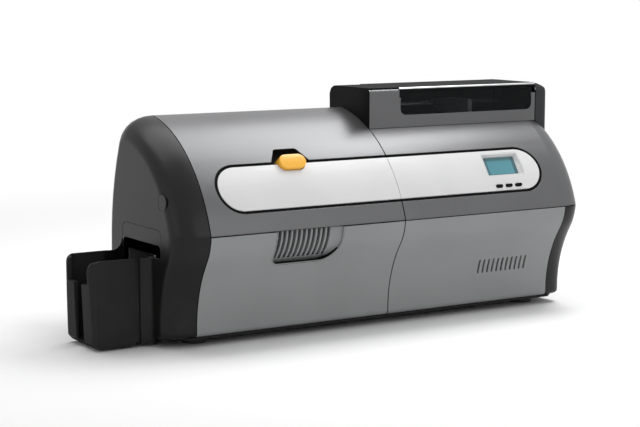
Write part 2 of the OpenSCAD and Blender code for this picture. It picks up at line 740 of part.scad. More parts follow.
// Menu button: lozenge cap with a flange behind the cover
module menu_button(i) color(c_black) {
    intersection() {
        on_strip(-6, 6) menu_outline(i, 0);
        along_x(menu_x - 40, menu_x + 40) skin(-1.2, 7);
    }
    on_strip(-8, -5) menu_outline(i, 1.6);
}
module menu_button_left() menu_button(-1);
module menu_button_middle() menu_button(0);
module menu_button_right() menu_button(1);

// ---- left face pieces ----
module exit_bezel() color(c_shell) difference() {
    union() {
        along_x(x_face, x_face + 2.9) exit_outline(0);
        along_x(x_face + wall + 0.1, x_face + wall + 2.1) exit_outline(1);
        along_x(x_face + 1, x_face + wall + 2) exit_outline(-1);
    }
    // mouth for the card, open below towards the hopper
    along_x(x_face - 1, x_face + 9) {
        square_at([exit_y0 + 3, exit_z0 - 2], [exit_y1 - 3, card_h - 4]);
        round_rect([exit_y0 + 3, exit_z0 - 12], [exit_y1 - 3, card_h + 3.5], 6);
    }
}

module side_plug() color(c_shell) {
    rod_along_x(plug_y, plug_z, plug_r, x_face + 0.15, x_face + 1.2);
    rod_along_x(plug_y, plug_z, plug_r - 2.1, x_face + 0.15, x_face + wall + 3);
}

// Side view of the hopper: round top corner and a slight draft at the end wall
module out_side() difference() {
    square_at([x_left, out_floor], [out_x1, out_h]);
    difference() {
        square_at([x_left - 1, out_h - 14], [x_left + 14, out_h + 1]);
        translate([x_left + 14, out_h - 14]) circle(14);
    }
    polygon([[x_left - 1, out_h - 15], [x_left, out_h - 15], [x_left + 3, out_floor + 8],
        [x_left + 11, out_floor - 1], [x_left - 1, out_floor - 1]]);
}
module output_hopper() color(c_black) difference() {
    intersection() {
        along_z(out_floor, out_h) round_rect([x_left, out_y0], [out_x1 + 20, out_y1], 10);
        along_y(out_y0 - 1, out_y1 + 1) out_side();
    }
    along_z(out_floor + out_wall, out_h + 5) round_rect([x_left + 4 + out_wall, out_y0 + out_wall],
        [out_x1 + 30, out_y1 - out_wall], 7.5);
    // end wall lower than the side walls, with a slot for the thumb
    block([x_left - 1, x_left + 12], [out_y0 + 11, out_y1 - 11], [out_end_h, out_h + 1]);
    block([x_left - 1, x_left + 12], [out_mid - thumb_w / 2, out_mid + thumb_w / 2],
        [out_floor + out_wall + 3, out_h + 1]);
    block([x_left + 30, x_left + 58], [out_mid - thumb_w / 2, out_mid + thumb_w / 2],
        [out_floor - 1, out_floor + out_wall + 1]);
}

// ---- rear housing ----
function bulge_outline(t) = concat(
    [[rear_y - 14, pan_top - (t > 0 ? 5 : 0)], [rear_y - 14, rear_housing_h + 6 - t]],
    arc([back_y - 16, rear_housing_h - 18], 16 - t, 80, 0, 8),
    [[back_y - t, pan_top - (t > 0 ? 5 : 0)]]);
sock_z = pan_top + 16;
fan_x = x_a + 88;
fan_z = 112;
fan_side = 80;
plate_x0 = bulge_x1 - 150;
plate_x1 = bulge_x1 - 20;
plate_z1 = pan_top + 52;
module rear_cover() color(c_shell) {
    difference() {
        union() {
            along_x(x_a + seam / 2, x_r - seam / 2) rear_slice(0, wall);
            intersection() {
                along_x(bulge_x0, bulge_x1) polygon(bulge_outline(0));
                along_z(0, top_h) round_rect([bulge_x0, rear_y - 40], [bulge_x1, back_y], 14);
            }
        }
        intersection() {
            along_x(bulge_x0 + wall, bulge_x1 - wall) polygon(bulge_outline(wall));
            along_z(0, top_h) round_rect([bulge_x0 + wall, rear_y - 50], [bulge_x1 - wall, back_y - wall], 11);
        }
        // fan exhaust, three rows of slots at the right, window for the connector plate
        for (a = [0:5]) translate([fan_x, 0, fan_z]) rotate([0, 60 * a, 0])
            for (r = [13, 22, 31]) translate([0, 0, r])
                along_y(back_y - wall - 1, back_y + 1) round_rect([-r * 0.38, -2], [r * 0.38, 2], 1.9);
        for (i = [0:15], j = [0:2]) along_y(back_y - wall - 1, back_y + 1)
            round_rect([bulge_x1 - 150 + i * 8, 100 + j * 26], [bulge_x1 - 147 + i * 8, 120 + j * 26], 1.4);
        block([plate_x0, plate_x1], [back_y - wall - 1, back_y + 1], [pan_top + 6, plate_z1]);
    }
    // knuckles that carry the print cover
    for (x = hinge_x, s = [-1, 1]) difference() {
        union() {
            rod_along_x(hinge_y, hinge_z, hinge_r, x + s * 16 - 5.5, x + s * 16 + 5.5);
            block([x + s * 16 - 5.5, x + s * 16 + 5.5], [hinge_y - 4, hinge_y + 5],
                [rear_housing_h + 1, hinge_z]);
        }
        rod_along_x(hinge_y, hinge_z, pin_r, x + s * 16 - 7, x + s * 16 + 7);
    }
    // posts for the circuit board
    for (x = [board_x0 + 8, board_x1 - 8], z = [pan_top + 60, pan_top + 118])
        rod_along_y(x, z, 3.5, board_y + 1.6, back_y - wall + 0.5);
}
module rear_slice(t0, t1) intersection() {
    skin(t0, t1);
    translate([rear_y - 40, pan_top]) square([60, hinge_z - 2 - seam - pan_top]);
}

inlet_x = plate_x1 - 24;
rocker_x = inlet_x - 31;
usb_x = plate_x0 + 16;
lan_x = plate_x0 + 40;
inlet_w = 28;
inlet_hh = 20;
module connector_plate() color(c_steel) difference() {
    along_y(back_y - wall - 1.6, back_y - wall - 0.1)
        round_rect([plate_x0 - 3, pan_top + 3], [plate_x1 + 3, plate_z1 + 3], 2);
    along_y(back_y - 9, back_y + 1) {
        translate([inlet_x - inlet_w / 2, sock_z]) square([inlet_w, inlet_hh]);
        translate([rocker_x - 9.7, sock_z - 2.1]) square([19.4, 24.2]);
        translate([usb_x - 6.5, sock_z]) square([13, 12]);
        translate([lan_x - 8.5, sock_z]) square([17, 15]);
    }
}

module power_inlet() color(c_black) {
    difference() {
        union() {
            block([inlet_x - inlet_w / 2 + 0.1, inlet_x + inlet_w / 2 - 0.1], [back_y - 26, back_y - wall],
                [sock_z + 0.1, sock_z + inlet_hh - 0.1]);
            block([rocker_x - 12, inlet_x + inlet_w / 2 + 3], [back_y - wall, back_y - 0.6],
                [sock_z - 3, sock_z + inlet_hh + 3]);
            block([rocker_x - 9.5, rocker_x + 9.5], [back_y - 20, back_y - wall],
                [sock_z - 1.9, sock_z + 21.9]);
        }
        // box of the switch, with the bore for its rocker
        block([rocker_x - 7.4, rocker_x + 7.4], [back_y - 19, back_y + 1], [sock_z - 0.4, sock_z + 20.4]);
        rod_along_x(rocker_axis.x, rocker_axis.y, 2.2 + run_fit, rocker_x - 8.6, rocker_x + 8.6);
        along_y(back_y - 18, back_y + 1) polygon([for (p = [[-11.5, -7], [11.5, -7], [11.5, 3], [7.5, 7],
            [-7.5, 7], [-11.5, 3]]) [inlet_x + p.x, sock_z + inlet_hh / 2 + p.y]]);
    }
    for (p = [[-6.5, -2], [0, 2], [6.5, -2]])
        block([inlet_x + p.x - 1, inlet_x + p.x + 1], [back_y - 19, back_y - 6],
            [sock_z + inlet_hh / 2 + p.y - 2, sock_z + inlet_hh / 2 + p.y + 2]);
}

rocker_axis = [back_y - 9.6, sock_z + 10];
module power_rocker() color(c_black) {
    intersection() {
        along_x(rocker_x - 6.9, rocker_x + 6.9) polygon(concat([rocker_axis],
            [for (a = [50:8:130]) rocker_axis + 8.5 * [sin(a), cos(a)]
                + (abs(a - 90) > 20 ? [0.8, 0] : [0, 0])]));
        block([rocker_x - 10, rocker_x + 10], [back_y - 12, back_y + 3], [sock_z + 1, sock_z + 19]);
    }
    rod_along_x(rocker_axis.x, rocker_axis.y, 2.2, rocker_x - 8.3, rocker_x + 8.3);
}

module usb_socket() color(c_steel) difference() {
    block([usb_x - 6.3, usb_x + 6.3], [board_y + 1.6, back_y - wall + 1], [sock_z + 0.3, sock_z + 11.5]);
    block([usb_x - 4.5, usb_x + 4.5], [board_y + 7, back_y], [sock_z + 1.8, sock_z + 10]);
}
module ethernet_socket() color(c_steel) difference() {
    block([lan_x - 8.2, lan_x + 8.2], [board_y + 1.6, back_y - wall + 1], [sock_z + 0.3, sock_z + 14.5]);
    along_y(board_y + 7, back_y) {
        translate([lan_x - 6, sock_z + 3]) square([12, 8]);
        translate([lan_x - 3, sock_z + 2]) square([6, 10]);
    }
}

module power_supply() color(c_steel) difference() {
    block([x_a + 150, x_m + 20], [rear_y + 10, back_y - 12], [pan_top, pan_top + 62]);
    block([x_a + 152, x_m + 18], [rear_y + 9, back_y - 14], [pan_top + 2, pan_top + 60]);
}

module main_board() color(c_board) {
    block([board_x0, board_x1], [board_y, board_y + 1.6], [pan_top, pan_top + 126]);
    for (p = [[20, 90, 16], [46, 72, 24], [58, 20, 12], [24, 40, 18]])
        block([board_x0 + p.x, board_x0 + p.x + p.z], [board_y - 3, board_y + 0.2],
            [pan_top + p.y, pan_top + p.y + p.z]);
}

fan_y0 = back_y - wall - 25.2;
module fan_frame() color(c_black) {
    difference() {
        along_y(fan_y0, fan_y0 + 25) round_rect([fan_x - fan_side / 2, fan_z - fan_side / 2],
            [fan_x + fan_side / 2, fan_z + fan_side / 2], 5);
        rod_along_y(fan_x, fan_z, fan_side / 2 - 2, fan_y0 - 1, fan_y0 + 26);
        for (x = [-1, 1], z = [-1, 1]) rod_along_y(fan_x + x * (fan_side / 2 - 4.5),
            fan_z + z * (fan_side / 2 - 4.5), 2, fan_y0 - 1, fan_y0 + 26);
    }
    for (a = [0:90:270]) translate([fan_x, 0, fan_z]) rotate([0, a + 20, 0])
        block([-2, 2], [fan_y0 + 21, fan_y0 + 25], [10, fan_side / 2 - 1]);
    rod_along_y(fan_x, fan_z, 14, fan_y0 + 21, fan_y0 + 25);
    rod_along_y(fan_x, fan_z, 2, fan_y0 + 3, fan_y0 + 22);
}
module fan_rotor() color(c_black) {
    difference() {
        rod_along_y(fan_x, fan_z, 15, fan_y0 + 3.5, fan_y0 + 20);
        rod_along_y(fan_x, fan_z, 2 + run_fit, fan_y0 + 2, fan_y0 + 21);
    }
    for (a = [0:6]) translate([fan_x, fan_y0 + 12, fan_z]) rotate([0, a * 360 / 7, 0])
        translate([0, 0, 14]) rotate([0, 0, 35]) translate([-9, -0.8, 0]) cube([18, 1.6, 20]);
}

// ---- frames and drive ----
module frame_outline(tall) {
    x0 = eject_x - 12;
    x1 = flip_x + flip_r + 8;
    square_at([x0, pan_top + wall + 0.5], [x_a + 5, bay_low_h]);
    square_at([x_a + 4, pan_top], [x1, bay_low_h]);
    square_at([x_m + 6, pan_top], [x1, well_z0 - hop_wall]);
    if (tall) round_rect([spool_x[0] - 20, pan_top + 40], [spool_x[1] + 20, spool_tall], 14);
}
module square_at(p, q) translate(p) square(q - p);
driven = [eject_x, exit_x, head_x, transfer_x];
module shaft_holes(r) {
    for (x = driven) translate([x, roller_z]) circle(r);
    translate([transfer_x, clean_z]) circle(r);
    translate([flip_x, card_h + card_t / 2]) circle(flip_hub_r + run_fit + r - bush_r);
    translate([feed_x, feed_z]) circle(r);
}
clean_z = card_h + card_t + 0.4 + roller_r;
module lightening() for (x = [eject_x + 40, exit_x + 40, head_x + 40, x_m - 22])
    round_rect([x - 16, pan_top + 12], [x + 16, pan_top + 60], 8);

module front_frame() color(c_steel) {
    along_y(frame_f - frame_t, frame_f) difference() {
        frame_outline(false);
        shaft_holes(bush_r);
        lightening();
    }
    block([x_a + 4, flip_x + flip_r + 8], [frame_f - 14, frame_f - frame_t], [pan_top, pan_top + 2]);
    // catch for the latch lever
    intersection() {
        along_x(latch_x - 12, latch_x + 12) catch_outline();
        block([latch_x - 13, latch_x + 13], [frame_f - 30, frame_f - frame_t + 0.1], [pan_top, crown_h]);
    }
}

module rear_frame() color(c_steel) {
    along_y(frame_b, frame_b + frame_t) difference() {
        frame_outline(true);
        shaft_holes(bush_r);
        for (x = spool_x) translate([x, spool_z]) circle(bush_r);
        translate([motor_x, motor_z]) circle(9);
        square_at([head_x - 26, card_h + 34], [head_x + 26, spool_tall - 14]);
    }
    block([x_a + 4, flip_x + flip_r + 8], [frame_b + frame_t, frame_b + 12], [pan_top, pan_top + 2]);
}

module tie_rods() color(c_steel) for (p = [[eject_x + 40, 96], [exit_x + 40, 100], [head_x + 40, 96],
    [x_m - 16, 40], [flip_x + 6, 40]]) rod_along_y(p.x, p.y, 4, frame_f, frame_b);

module roller_bushes() color(c_natural) {
    for (x = driven, s = [0, 1]) bush(x, roller_z, s, shaft_r);
    for (s = [0, 1]) {
        bush(transfer_x, clean_z, s, shaft_r);
        bush(feed_x, feed_z, s, shaft_r);
    }
    for (x = spool_x) bush(x, spool_z, 1, shaft_r);
}
// A flanged bush: s = 0 in the front frame, s = 1 in the rear frame
module bush(x, z, s, r) {
    y0 = s == 0 ? frame_f - frame_t : frame_b;
    f = s == 0 ? [frame_f, frame_f + 1] : [frame_b - 1, frame_b];
    difference() {
        union() {
            rod_along_y(x, z, bush_r, y0, y0 + frame_t);
            rod_along_y(x, z, bush_r + 1.5, f[0], f[1]);
        }
        rod_along_y(x, z, r + run_fit, frame_f - 10, frame_b + 10);
    }
}

// Roller with its shaft, rubber sleeve and belt pulley
module roller(x, z, r, belt) {
    sleeve = frame_gap - 5;
    rod_along_y(x, z, shaft_r, frame_f - frame_t - 1, belt ? belt_y0 + belt_w + 2 : frame_b + frame_t + 1);
    rod_along_y(x, z, r, card_y - sleeve / 2, card_y + sleeve / 2);
    if (belt) {
        rod_along_y(x, z, pulley_r, belt_y0, belt_y0 + belt_w);
        rod_along_y(x, z, pulley_r + 2, belt_y0 + belt_w, belt_y0 + belt_w + 1.2);
    }
}
module eject_roller() color(c_rubber) roller(eject_x, roller_z, roller_r, true);
module exit_roller() color(c_rubber) roller(exit_x, roller_z, roller_r, true);
module platen_roller() color(c_rubber) roller(head_x, roller_z, roller_r, true);
module transfer_roller() color(c_rubber) roller(transfer_x, roller_z, roller_r, true);
module cleaning_roller() color(c_teal) roller(transfer_x, clean_z, roller_r, false);
module feed_roller() color(c_rubber) roller(feed_x, feed_z, roller_r, false);

module card_guide() color(c_dark) {
    z1 = card_h - 0.6;
    difference() {
        union() {
            block([eject_x - 10, x_m - 14], [frame_f, frame_b], [z1 - 1.6, z1]);
            for (y = [frame_f, frame_b - 1.5])
                block([eject_x - 10, x_m - 14], [y, y + 1.5], [z1 - 1.6, z1 + 5]);
        }
        for (x = driven) block([x - roller_r - 1, x + roller_r + 1], [frame_f - 1, frame_b + 1],
            [z1 - 3, z1 + 7]);
    }
}

module drive_motor() color(c_dark) {
    block([motor_x - motor_side / 2, motor_x + motor_side / 2], [frame_b - motor_len, frame_b],
        [motor_z - motor_side / 2, motor_z + motor_side / 2]);
    difference() {
        rod_along_y(motor_x, motor_z, 8.9, frame_b - 0.5, frame_b + 2);
        rod_along_y(motor_x, motor_z, 2.5 + run_fit, frame_b - 15, frame_b + 3);
    }
}
module motor_pulley() color(c_steel) {
    rod_along_y(motor_x, motor_z, 2.5, frame_b + 2.2, belt_y0 + belt_w + 4);
    rod_along_y(motor_x, motor_z, motor_pulley_r, belt_y0, belt_y0 + belt_w);
    rod_along_y(motor_x, motor_z, motor_pulley_r + 2, belt_y0 + belt_w, belt_y0 + belt_w + 1.2);
}
module belt_loop(g) hull() {
    translate([eject_x, roller_z]) circle(pulley_r + g, $fn = 32);
    translate([transfer_x, roller_z]) circle(pulley_r + g, $fn = 32);
    translate([motor_x, motor_z]) circle(motor_pulley_r + g, $fn = 32);
}
module drive_belt() color(c_black) along_y(belt_y0 + 0.4, belt_y0 + belt_w - 0.4) difference() {
    belt_loop(0.3 + belt_t);
    belt_loop(0.3);
}

// Carriage that turns a card from upright to flat, or over
module flip_carriage() color(c_dark) {
    z = card_h + card_t / 2;
    half = flip_r - 4;
    for (s = [-1, 1]) {
        y = s < 0 ? frame_f + 1.5 : frame_b - 4.5;
        block([flip_x - 7, flip_x + 7], [y, y + 3], [z - half, z + half]);
        rod_along_y(flip_x, z, flip_hub_r, s < 0 ? frame_f - frame_t - 1 : y, s < 0 ? y + 1 : frame_b + frame_t + 1);
    }
    for (t = [-1, 1], x = [-1, 1]) block([flip_x + x * 4 - 2, flip_x + x * 4 + 2],
        [frame_f + 3, frame_b - 3], [z + t * 22 - 14, z + t * 22 + 14]);
}

module pick_roller() color(c_rubber) {
    rod_along_y(pick_x, pick_z, shaft_r, well_y0 - hop_wall - 0.5, well_y1 + hop_wall + 3);
    rod_along_y(pick_x, pick_z, pick_r, card_y - 16, card_y + 16);
}

// Ribbon spool: core with the wound roll, flanges and its spindle
module spool(x, roll_r) {
    rod_along_y(x, spool_z, shaft_r, card_y - 32, frame_b + frame_t + 2);
    rod_along_y(x, spool_z, 9, card_y - 31, frame_b - 1.5);
    rod_along_y(x, spool_z, roll_r, card_y - 28, card_y + 28);
    for (y = [card_y - 30, card_y + 28.5]) rod_along_y(x, spool_z, 31, y, y + 1.5);
}
module supply_spool() color(c_black) spool(spool_x[0], 27);
module takeup_spool() color(c_black) spool(spool_x[1], 16);

// ---- card hopper ----
// Height at which the covers' rear face passes inside the hopper's rear wall
hop_rear_low = rear_flat_h + sqrt(rear_r * rear_r - pow(hop_y1 - hop_wall - 0.4 - c_rear.x, 2));
// Side view of the hopper, with corners of radius rf at the front and rr at the rear
module hop_side(rf, rr) difference() {
    square_at([hop_y0, hop_end_z - 40], [hop_y1, top_h]);
    difference() {
        square_at([hop_y0 - 1, top_h - rf], [hop_y0 + rf, top_h + 1]);
        translate([hop_y0 + rf, top_h - rf]) circle(rf);
    }
    difference() {
        square_at([hop_y1 - rr, top_h - rr], [hop_y1 + 1, top_h + 1]);
        translate([hop_y1 - rr, top_h - rr]) circle(rr);
    }
}
hop_front_r = 3.5;
module hopper_housing() color(c_black) {
    // well for the cards
    difference() {
        block([well_x0 - hop_wall, well_x1 + hop_wall], [well_y0 - hop_wall, well_y1 + hop_wall],
            [well_z0 - hop_wall, window_h - 6]);
        block([well_x0, well_x1], [well_y0, well_y1], [well_z0, top_h]);
        block([drop_x - 1, drop_x + 2], [card_y - 28, card_y + 28], [well_z0 - 5, well_z0 + 1]);
        rod_along_y(pick_x, pick_z, shaft_r + run_fit, well_y0 - 9, well_y1 + 9);
    }
    // ledge from the well out to the rear wall
    block([hop_x0 + 1, lid_x1 + 1], [well_y1 + hop_wall - 0.5, hop_y1 - hop_wall + 0.5],
        [window_h - 8, window_h - 6]);
    // rear wall, up to the lid's barrels
    block([hop_x0 + 1, lid_x1 + 1], [hop_y1 - hop_wall, hop_y1], [hop_rear_low, lid_axis.y - barrel_r - 0.6]);
    // left end: wall and fixed top with a round rear edge
    intersection() {
        along_x(hop_x0, lid_x0 - 0.3) hop_side(hop_front_r, hop_rear_r);
        difference() {
            block([hop_x0, lid_x0], [hop_y0 + hop_wall + 0.1, hop_y1 + 1], [hop_low, top_h + 1]);
            block([hop_x0 + hop_wall, lid_x0 + 1], [hop_y0 - 1, hop_y1 - hop_wall],
                [crown_h - 40, top_h - hop_wall]);
        }
    }
    // right end, rounded over at its top and front, hollow towards the well
    difference() {
        right_end();
        block([lid_x1, hop_x1 - 12], [hop_y0 + 6, hop_y1 - 6], [hop_end_z + 4, top_h - 12]);
    }
    // bracket and boss that hold the guide rod
    for (x = [lid_x0 - 4, x_end - 20]) difference() {
        block([x, x + 3], [rod_y - 6, rod_y + 6], [window_h - 6.5, rod_z + 6]);
        rod_along_x(rod_y, rod_z, rod_r, x - 1, x + 4);
    }
    // every second barrel of the lid's hinge, standing on the rear wall
    for (i = [0:2:barrels - 1]) barrel(i, 0) {
        rod_along_x(lid_axis.x, lid_axis.y, barrel_r, 0, barrel_len);
        block([0, barrel_len], [hop_y1 - hop_wall, hop_y1], [lid_axis.y - barrel_r - 2, lid_axis.y]);
    }
}
module right_end() intersection() {
    along_x(lid_x1 + 0.5, hop_x1) hop_side(hop_rear_r, hop_rear_r);
    along_z(hop_end_z, top_h) round_rect([hop_x1 - 60, hop_y0], [hop_x1, hop_y1], hop_rear_r);
    along_y(hop_y0 - 1, hop_y1 + 1) union() {
        square_at([lid_x1, hop_end_z], [hop_x1, top_h - hop_end_r]);
        translate([hop_x1 - hop_end_r, top_h - hop_end_r]) circle(hop_end_r);
    }
}
barrel_gap = 0.5;
barrel_len = (lid_x1 - lid_x0 - 0.3) / barrels - barrel_gap;
// Places barrel i of the lid's hinge, with its bore made larger by fit
module barrel(i, fit) translate([lid_x0 + 0.3 + i * (barrel_len + barrel_gap), 0, 0]) difference() {
    union() children();
    rod_along_x(lid_axis.x, lid_axis.y, 1.5 + fit, -1, barrel_len + 1);
}

module hopper_front() color(c_silver) difference() {
    intersection() {
        along_y(hop_y0, hop_y0 + hop_wall) square_at([hop_x0, hop_low], [lid_x1, top_h - 2]);
        along_x(hop_x0, lid_x1) hop_front_edge();
    }
    along_y(hop_y0 - 1, hop_y0 + hop_wall + 1) window_cut(0);
}
module hop_front_edge() union() {
    square_at([hop_y0, crown_h - 30], [hop_y0 + 20, top_h - 6]);
    translate([hop_y0 + 4, top_h - 6]) circle(4);
    square_at([hop_y0 + 4, crown_h - 30], [hop_y0 + 20, top_h - 2]);
}
module window_cut(g) union() {
    round_rect([lid_x0 + 2 - g, window_h - g], [x_r + 6 + g, top_h - 10], 9 + g);
    square_at([lid_x0 - g, top_h - 14], [x_end, top_h + 1]);
}

// Lid: top plate with its front edge, and every second barrel of its hinge
module hopper_lid() color(c_black) {
    intersection() {
        along_x(lid_x0 + 0.3, lid_x1) hop_side(hop_front_r, barrel_r);
        union() {
            block([lid_x0, lid_x1 + 1], [hop_y0, lid_axis.x - barrel_r - barrel_gap], [top_h - lid_t, top_h + 1]);
            block([lid_x0, lid_x1 + 1], [hop_y0, hop_y0 + lid_t], [top_h - 6, top_h]);
            block([lid_x1 - 2, lid_x1 + 1], [hop_y0, hop_y1 - 20], [top_h - 8, top_h]);
        }
    }
    for (i = [1:2:barrels - 1]) barrel(i, run_fit) {
        rod_along_x(lid_axis.x, lid_axis.y, barrel_r, 0, barrel_len);
        block([0, barrel_len], [lid_axis.x - barrel_r - 1, lid_axis.x], [top_h - lid_t, top_h]);
    }
}
module lid_window() color([0.1, 0.12, 0.13, 0.6]) intersection() {
    along_y(hop_y0 + 0.2, hop_y0 + hop_wall) window_cut(-0.5);
    block([lid_x0, x_r + 8], [hop_y0, hop_y0 + 5], [window_h, top_h - 6.1]);
}
module lid_hinge_pin() color(c_steel) rod_along_x(lid_axis.x, lid_axis.y, 1.5, lid_x0 + 2, lid_x1 - 2);

module pusher_rod() color(c_steel) rod_along_x(rod_y, rod_z, rod_r, lid_x0 - 4, x_end - 17);

push_x = x_m + 171;
module card_pusher() color(c_dark) {
    difference() {
        union() {
            rod_along_x(rod_y, rod_z, rod_r + 3, push_x - 12, push_x + 14);
            block([push_x - 3, push_x + 5], [card_y + 14, rod_y], [window_h - 4, rod_z + 3]);
            block([push_x - 3, push_x], [card_y - 26, card_y + 26], [well_z0 + 6, top_h - 20]);
        }
        rod_along_x(rod_y, rod_z, rod_r + run_fit, push_x - 20, push_x + 20);
        block([push_x - 4, push_x + 1], [card_y - 14, card_y + 14], [well_z0 + 20, top_h - 40]);
    }
    for (y = [card_y - 20, card_y + 16]) block([push_x - 0.5, push_x + 8], [y, y + 2],
        [well_z0 + 6, top_h - 22]);
}

base_pan();
rubber_feet();
left_end_cap();
right_end_cap();
left_front_panel();
right_front_panel();
vent_grille();
feeder_cover();
feeder_trim();
display_bezel();
lcd_screen();
menu_button_left();
menu_button_middle();
menu_button_right();
exit_bezel();
side_plug();
output_hopper();
rear_cover();
connector_plate();
power_inlet();
power_rocker();
usb_socket();
ethernet_socket();
power_supply();
main_board();
fan_frame();
fan_rotor();
front_frame();
rear_frame();
tie_rods();
roller_bushes();
card_guide();
drive_motor();
motor_pulley();
drive_belt();
eject_roller();
exit_roller();
platen_roller();
transfer_roller();
cleaning_roller();
flip_carriage();
feed_roller();
pick_roller();
supply_spool();
takeup_spool();
print_cover();
cover_trim();
head_bracket();
print_head();
latch_button();
latch_hook();
cover_hinge_pins();
hopper_housing();
hopper_front();
hopper_lid();
lid_window();
lid_hinge_pin();
pusher_rod();
card_pusher();
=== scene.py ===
import json
import math

import bmesh
import bpy
from mathutils import Euler, Matrix, Vector


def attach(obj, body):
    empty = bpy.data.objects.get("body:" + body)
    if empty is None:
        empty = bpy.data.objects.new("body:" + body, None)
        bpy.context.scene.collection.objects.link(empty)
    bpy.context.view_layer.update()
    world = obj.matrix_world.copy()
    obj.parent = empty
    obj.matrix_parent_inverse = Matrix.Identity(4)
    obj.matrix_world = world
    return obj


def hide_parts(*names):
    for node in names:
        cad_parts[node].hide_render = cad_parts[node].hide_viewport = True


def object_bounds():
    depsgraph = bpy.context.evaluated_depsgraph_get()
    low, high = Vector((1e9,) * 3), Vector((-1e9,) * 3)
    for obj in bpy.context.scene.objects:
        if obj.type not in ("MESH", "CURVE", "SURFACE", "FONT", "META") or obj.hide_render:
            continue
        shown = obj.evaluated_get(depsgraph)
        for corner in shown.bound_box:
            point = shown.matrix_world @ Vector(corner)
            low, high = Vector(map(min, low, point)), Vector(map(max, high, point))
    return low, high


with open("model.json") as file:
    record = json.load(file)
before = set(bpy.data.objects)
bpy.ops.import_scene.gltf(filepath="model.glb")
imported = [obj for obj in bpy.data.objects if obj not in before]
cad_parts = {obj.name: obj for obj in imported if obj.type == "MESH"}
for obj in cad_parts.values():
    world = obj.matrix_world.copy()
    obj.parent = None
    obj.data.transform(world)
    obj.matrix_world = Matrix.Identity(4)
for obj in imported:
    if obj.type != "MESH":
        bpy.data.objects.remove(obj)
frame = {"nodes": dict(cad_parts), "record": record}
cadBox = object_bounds()
nodes = frame["nodes"]
bodyOf = {n: b for b, names in frame["record"]["behaviour"]["bodies"].items() for n in names}
slotOf = {s["node"]: s["material_slot"] for s in frame["record"]["subparts"]}
print("frame loaded:", len(nodes), "nodes")


class Wire:
    # a socket that can stand in a sum: wire * 2 + 1 adds its Math nodes
    def __init__(self, paint, socket):
        self.paint, self.socket = paint, socket

    def math(self, kind, other, before=False):
        pair = (other, self) if before else (self, other)
        return self.paint.add("ShaderNodeMath", {"operation": kind}, dict(enumerate(pair)))

    def __add__(self, b):
        return self.math("ADD", b)

    def __sub__(self, b):
        return self.math("SUBTRACT", b)

    def __rsub__(self, b):
        return self.math("SUBTRACT", b, before=True)

    def __mul__(self, b):
        return self.math("MULTIPLY", b)

    def __gt__(self, b):
        return self.math("GREATER_THAN", b)

    __radd__ = __add__
    __rmul__ = __mul__


class Paint:
    # one material: a Principled shader and whatever is wired to it
    def __init__(self, name, **fixed):
        self.material = bpy.data.materials.new(name)
        self.material.use_nodes = True
        self.tree = self.material.node_tree
        self.shader = self.tree.nodes["Principled BSDF"]
        for key, value in fixed.items():
            self.shader.inputs[key.replace("_", " ")].default_value = value
        self.coords = self.add("ShaderNodeTexCoord", out="Object")

    def add(self, kind, settings=None, sockets=None, out=0):
        node = self.tree.nodes.new(kind)
        for key, value in (settings or {}).items():
            if key == "stops":
                ramp = node.color_ramp.elements
                while len(ramp) < len(value):
                    ramp.new(0.5)
                for element, (place, colour) in zip(ramp, value):
                    element.position, element.color = place, colour
            else:
                setattr(node, key, value)
        for key, value in (sockets or {}).items():
            if isinstance(value, Wire):
                self.tree.links.new(value.socket, node.inputs[key])
            else:
                node.inputs[key].default_value = value
        return Wire(self, node.outputs[out])

    def link(self, wire, key):
        self.tree.links.new(wire.socket, self.shader.inputs[key])

    def stretched(self, scale):
        return self.add("ShaderNodeMapping", sockets={"Vector": self.coords, "Scale": scale})

    def noise(self, scale, detail=3.0, rough=0.5, where=None):
        return self.add("ShaderNodeTexNoise", sockets={
            "Vector": where or self.coords, "Scale": scale, "Detail": detail, "Roughness": rough})

    def axis(self, letter):
        return self.add("ShaderNodeSeparateXYZ", sockets={0: self.coords}, out=letter)

    def band(self, wire, low, high):
        return self.add("ShaderNodeMapRange", {"interpolation_type": "SMOOTHSTEP"},
                        {"Value": wire, "From Min": low, "From Max": high})

    def blend(self, amount, a, b):
        return self.add("ShaderNodeMix", {"data_type": "RGBA"}, {0: amount, 6: a, 7: b}, out=2)

    def bump(self, height, strength, distance=0.0005, under=None):
        sockets = {"Height": height, "Strength": strength, "Distance": distance}
        if under:
            sockets["Normal"] = under
        return self.add("ShaderNodeBump", sockets=sockets, out="Normal")


def tone(r, g=None, b=None, k=1.0):
    g, b = (r, r) if g is None else (g, b)
    return (r * k, g * k, b * k, 1)


paintLook = {"silver_cover": dict(base=(0.122, 0.123, 0.126), metal=0.64, rough=0.29, coat=0.08),
             "grey_panel": dict(base=(0.268, 0.277, 0.279), metal=0.15, rough=0.46, coat=0.0)}


def metallicPaint(name):
    # metal-flake paint on the outside; behind the skin the bare dark plastic shows, and near black is painted
    # into its grooves and seam edges as shade
    look = paintLook[name]
    p = Paint(name, IOR=1.46, Coat_Roughness=0.28, Specular_IOR_Level=0.08)
    cloud = p.noise(9.0, 4.0)
    flake = p.noise(5200.0, 1.0, 0.6)
    grain = p.noise(1500.0, 2.0)
    bare = p.add("ShaderNodeAttribute", {"attribute_name": "bare"}, out="Fac")
    base = p.blend(p.band(cloud, 0.3, 0.7), tone(*look["base"], k=0.965), tone(*look["base"], k=1.03))
    skin = p.blend(p.band(flake, 0.55, 0.8) * 0.35, base, tone(*look["base"], k=1.5))
    # near black for the bare inside, and as painted shade in the grooves and seam edges
    p.link(p.blend(bare, skin, tone(0.006)), "Base Color")
    p.link((look["metal"] - 0.10 * p.band(flake, 0.3, 0.7)) * (1.0 - bare), "Metallic")
    p.link(look["rough"] + 0.06 * cloud + 0.05 * grain + 0.40 * bare, "Roughness")
    p.link((look["coat"] + 0.02 * cloud) * (1.0 - bare), "Coat Weight")
    p.link(p.bump(grain, 0.10, 0.0002, under=p.bump(p.noise(240.0, 2.0), 0.05, 0.0004)), "Normal")
    return p.material


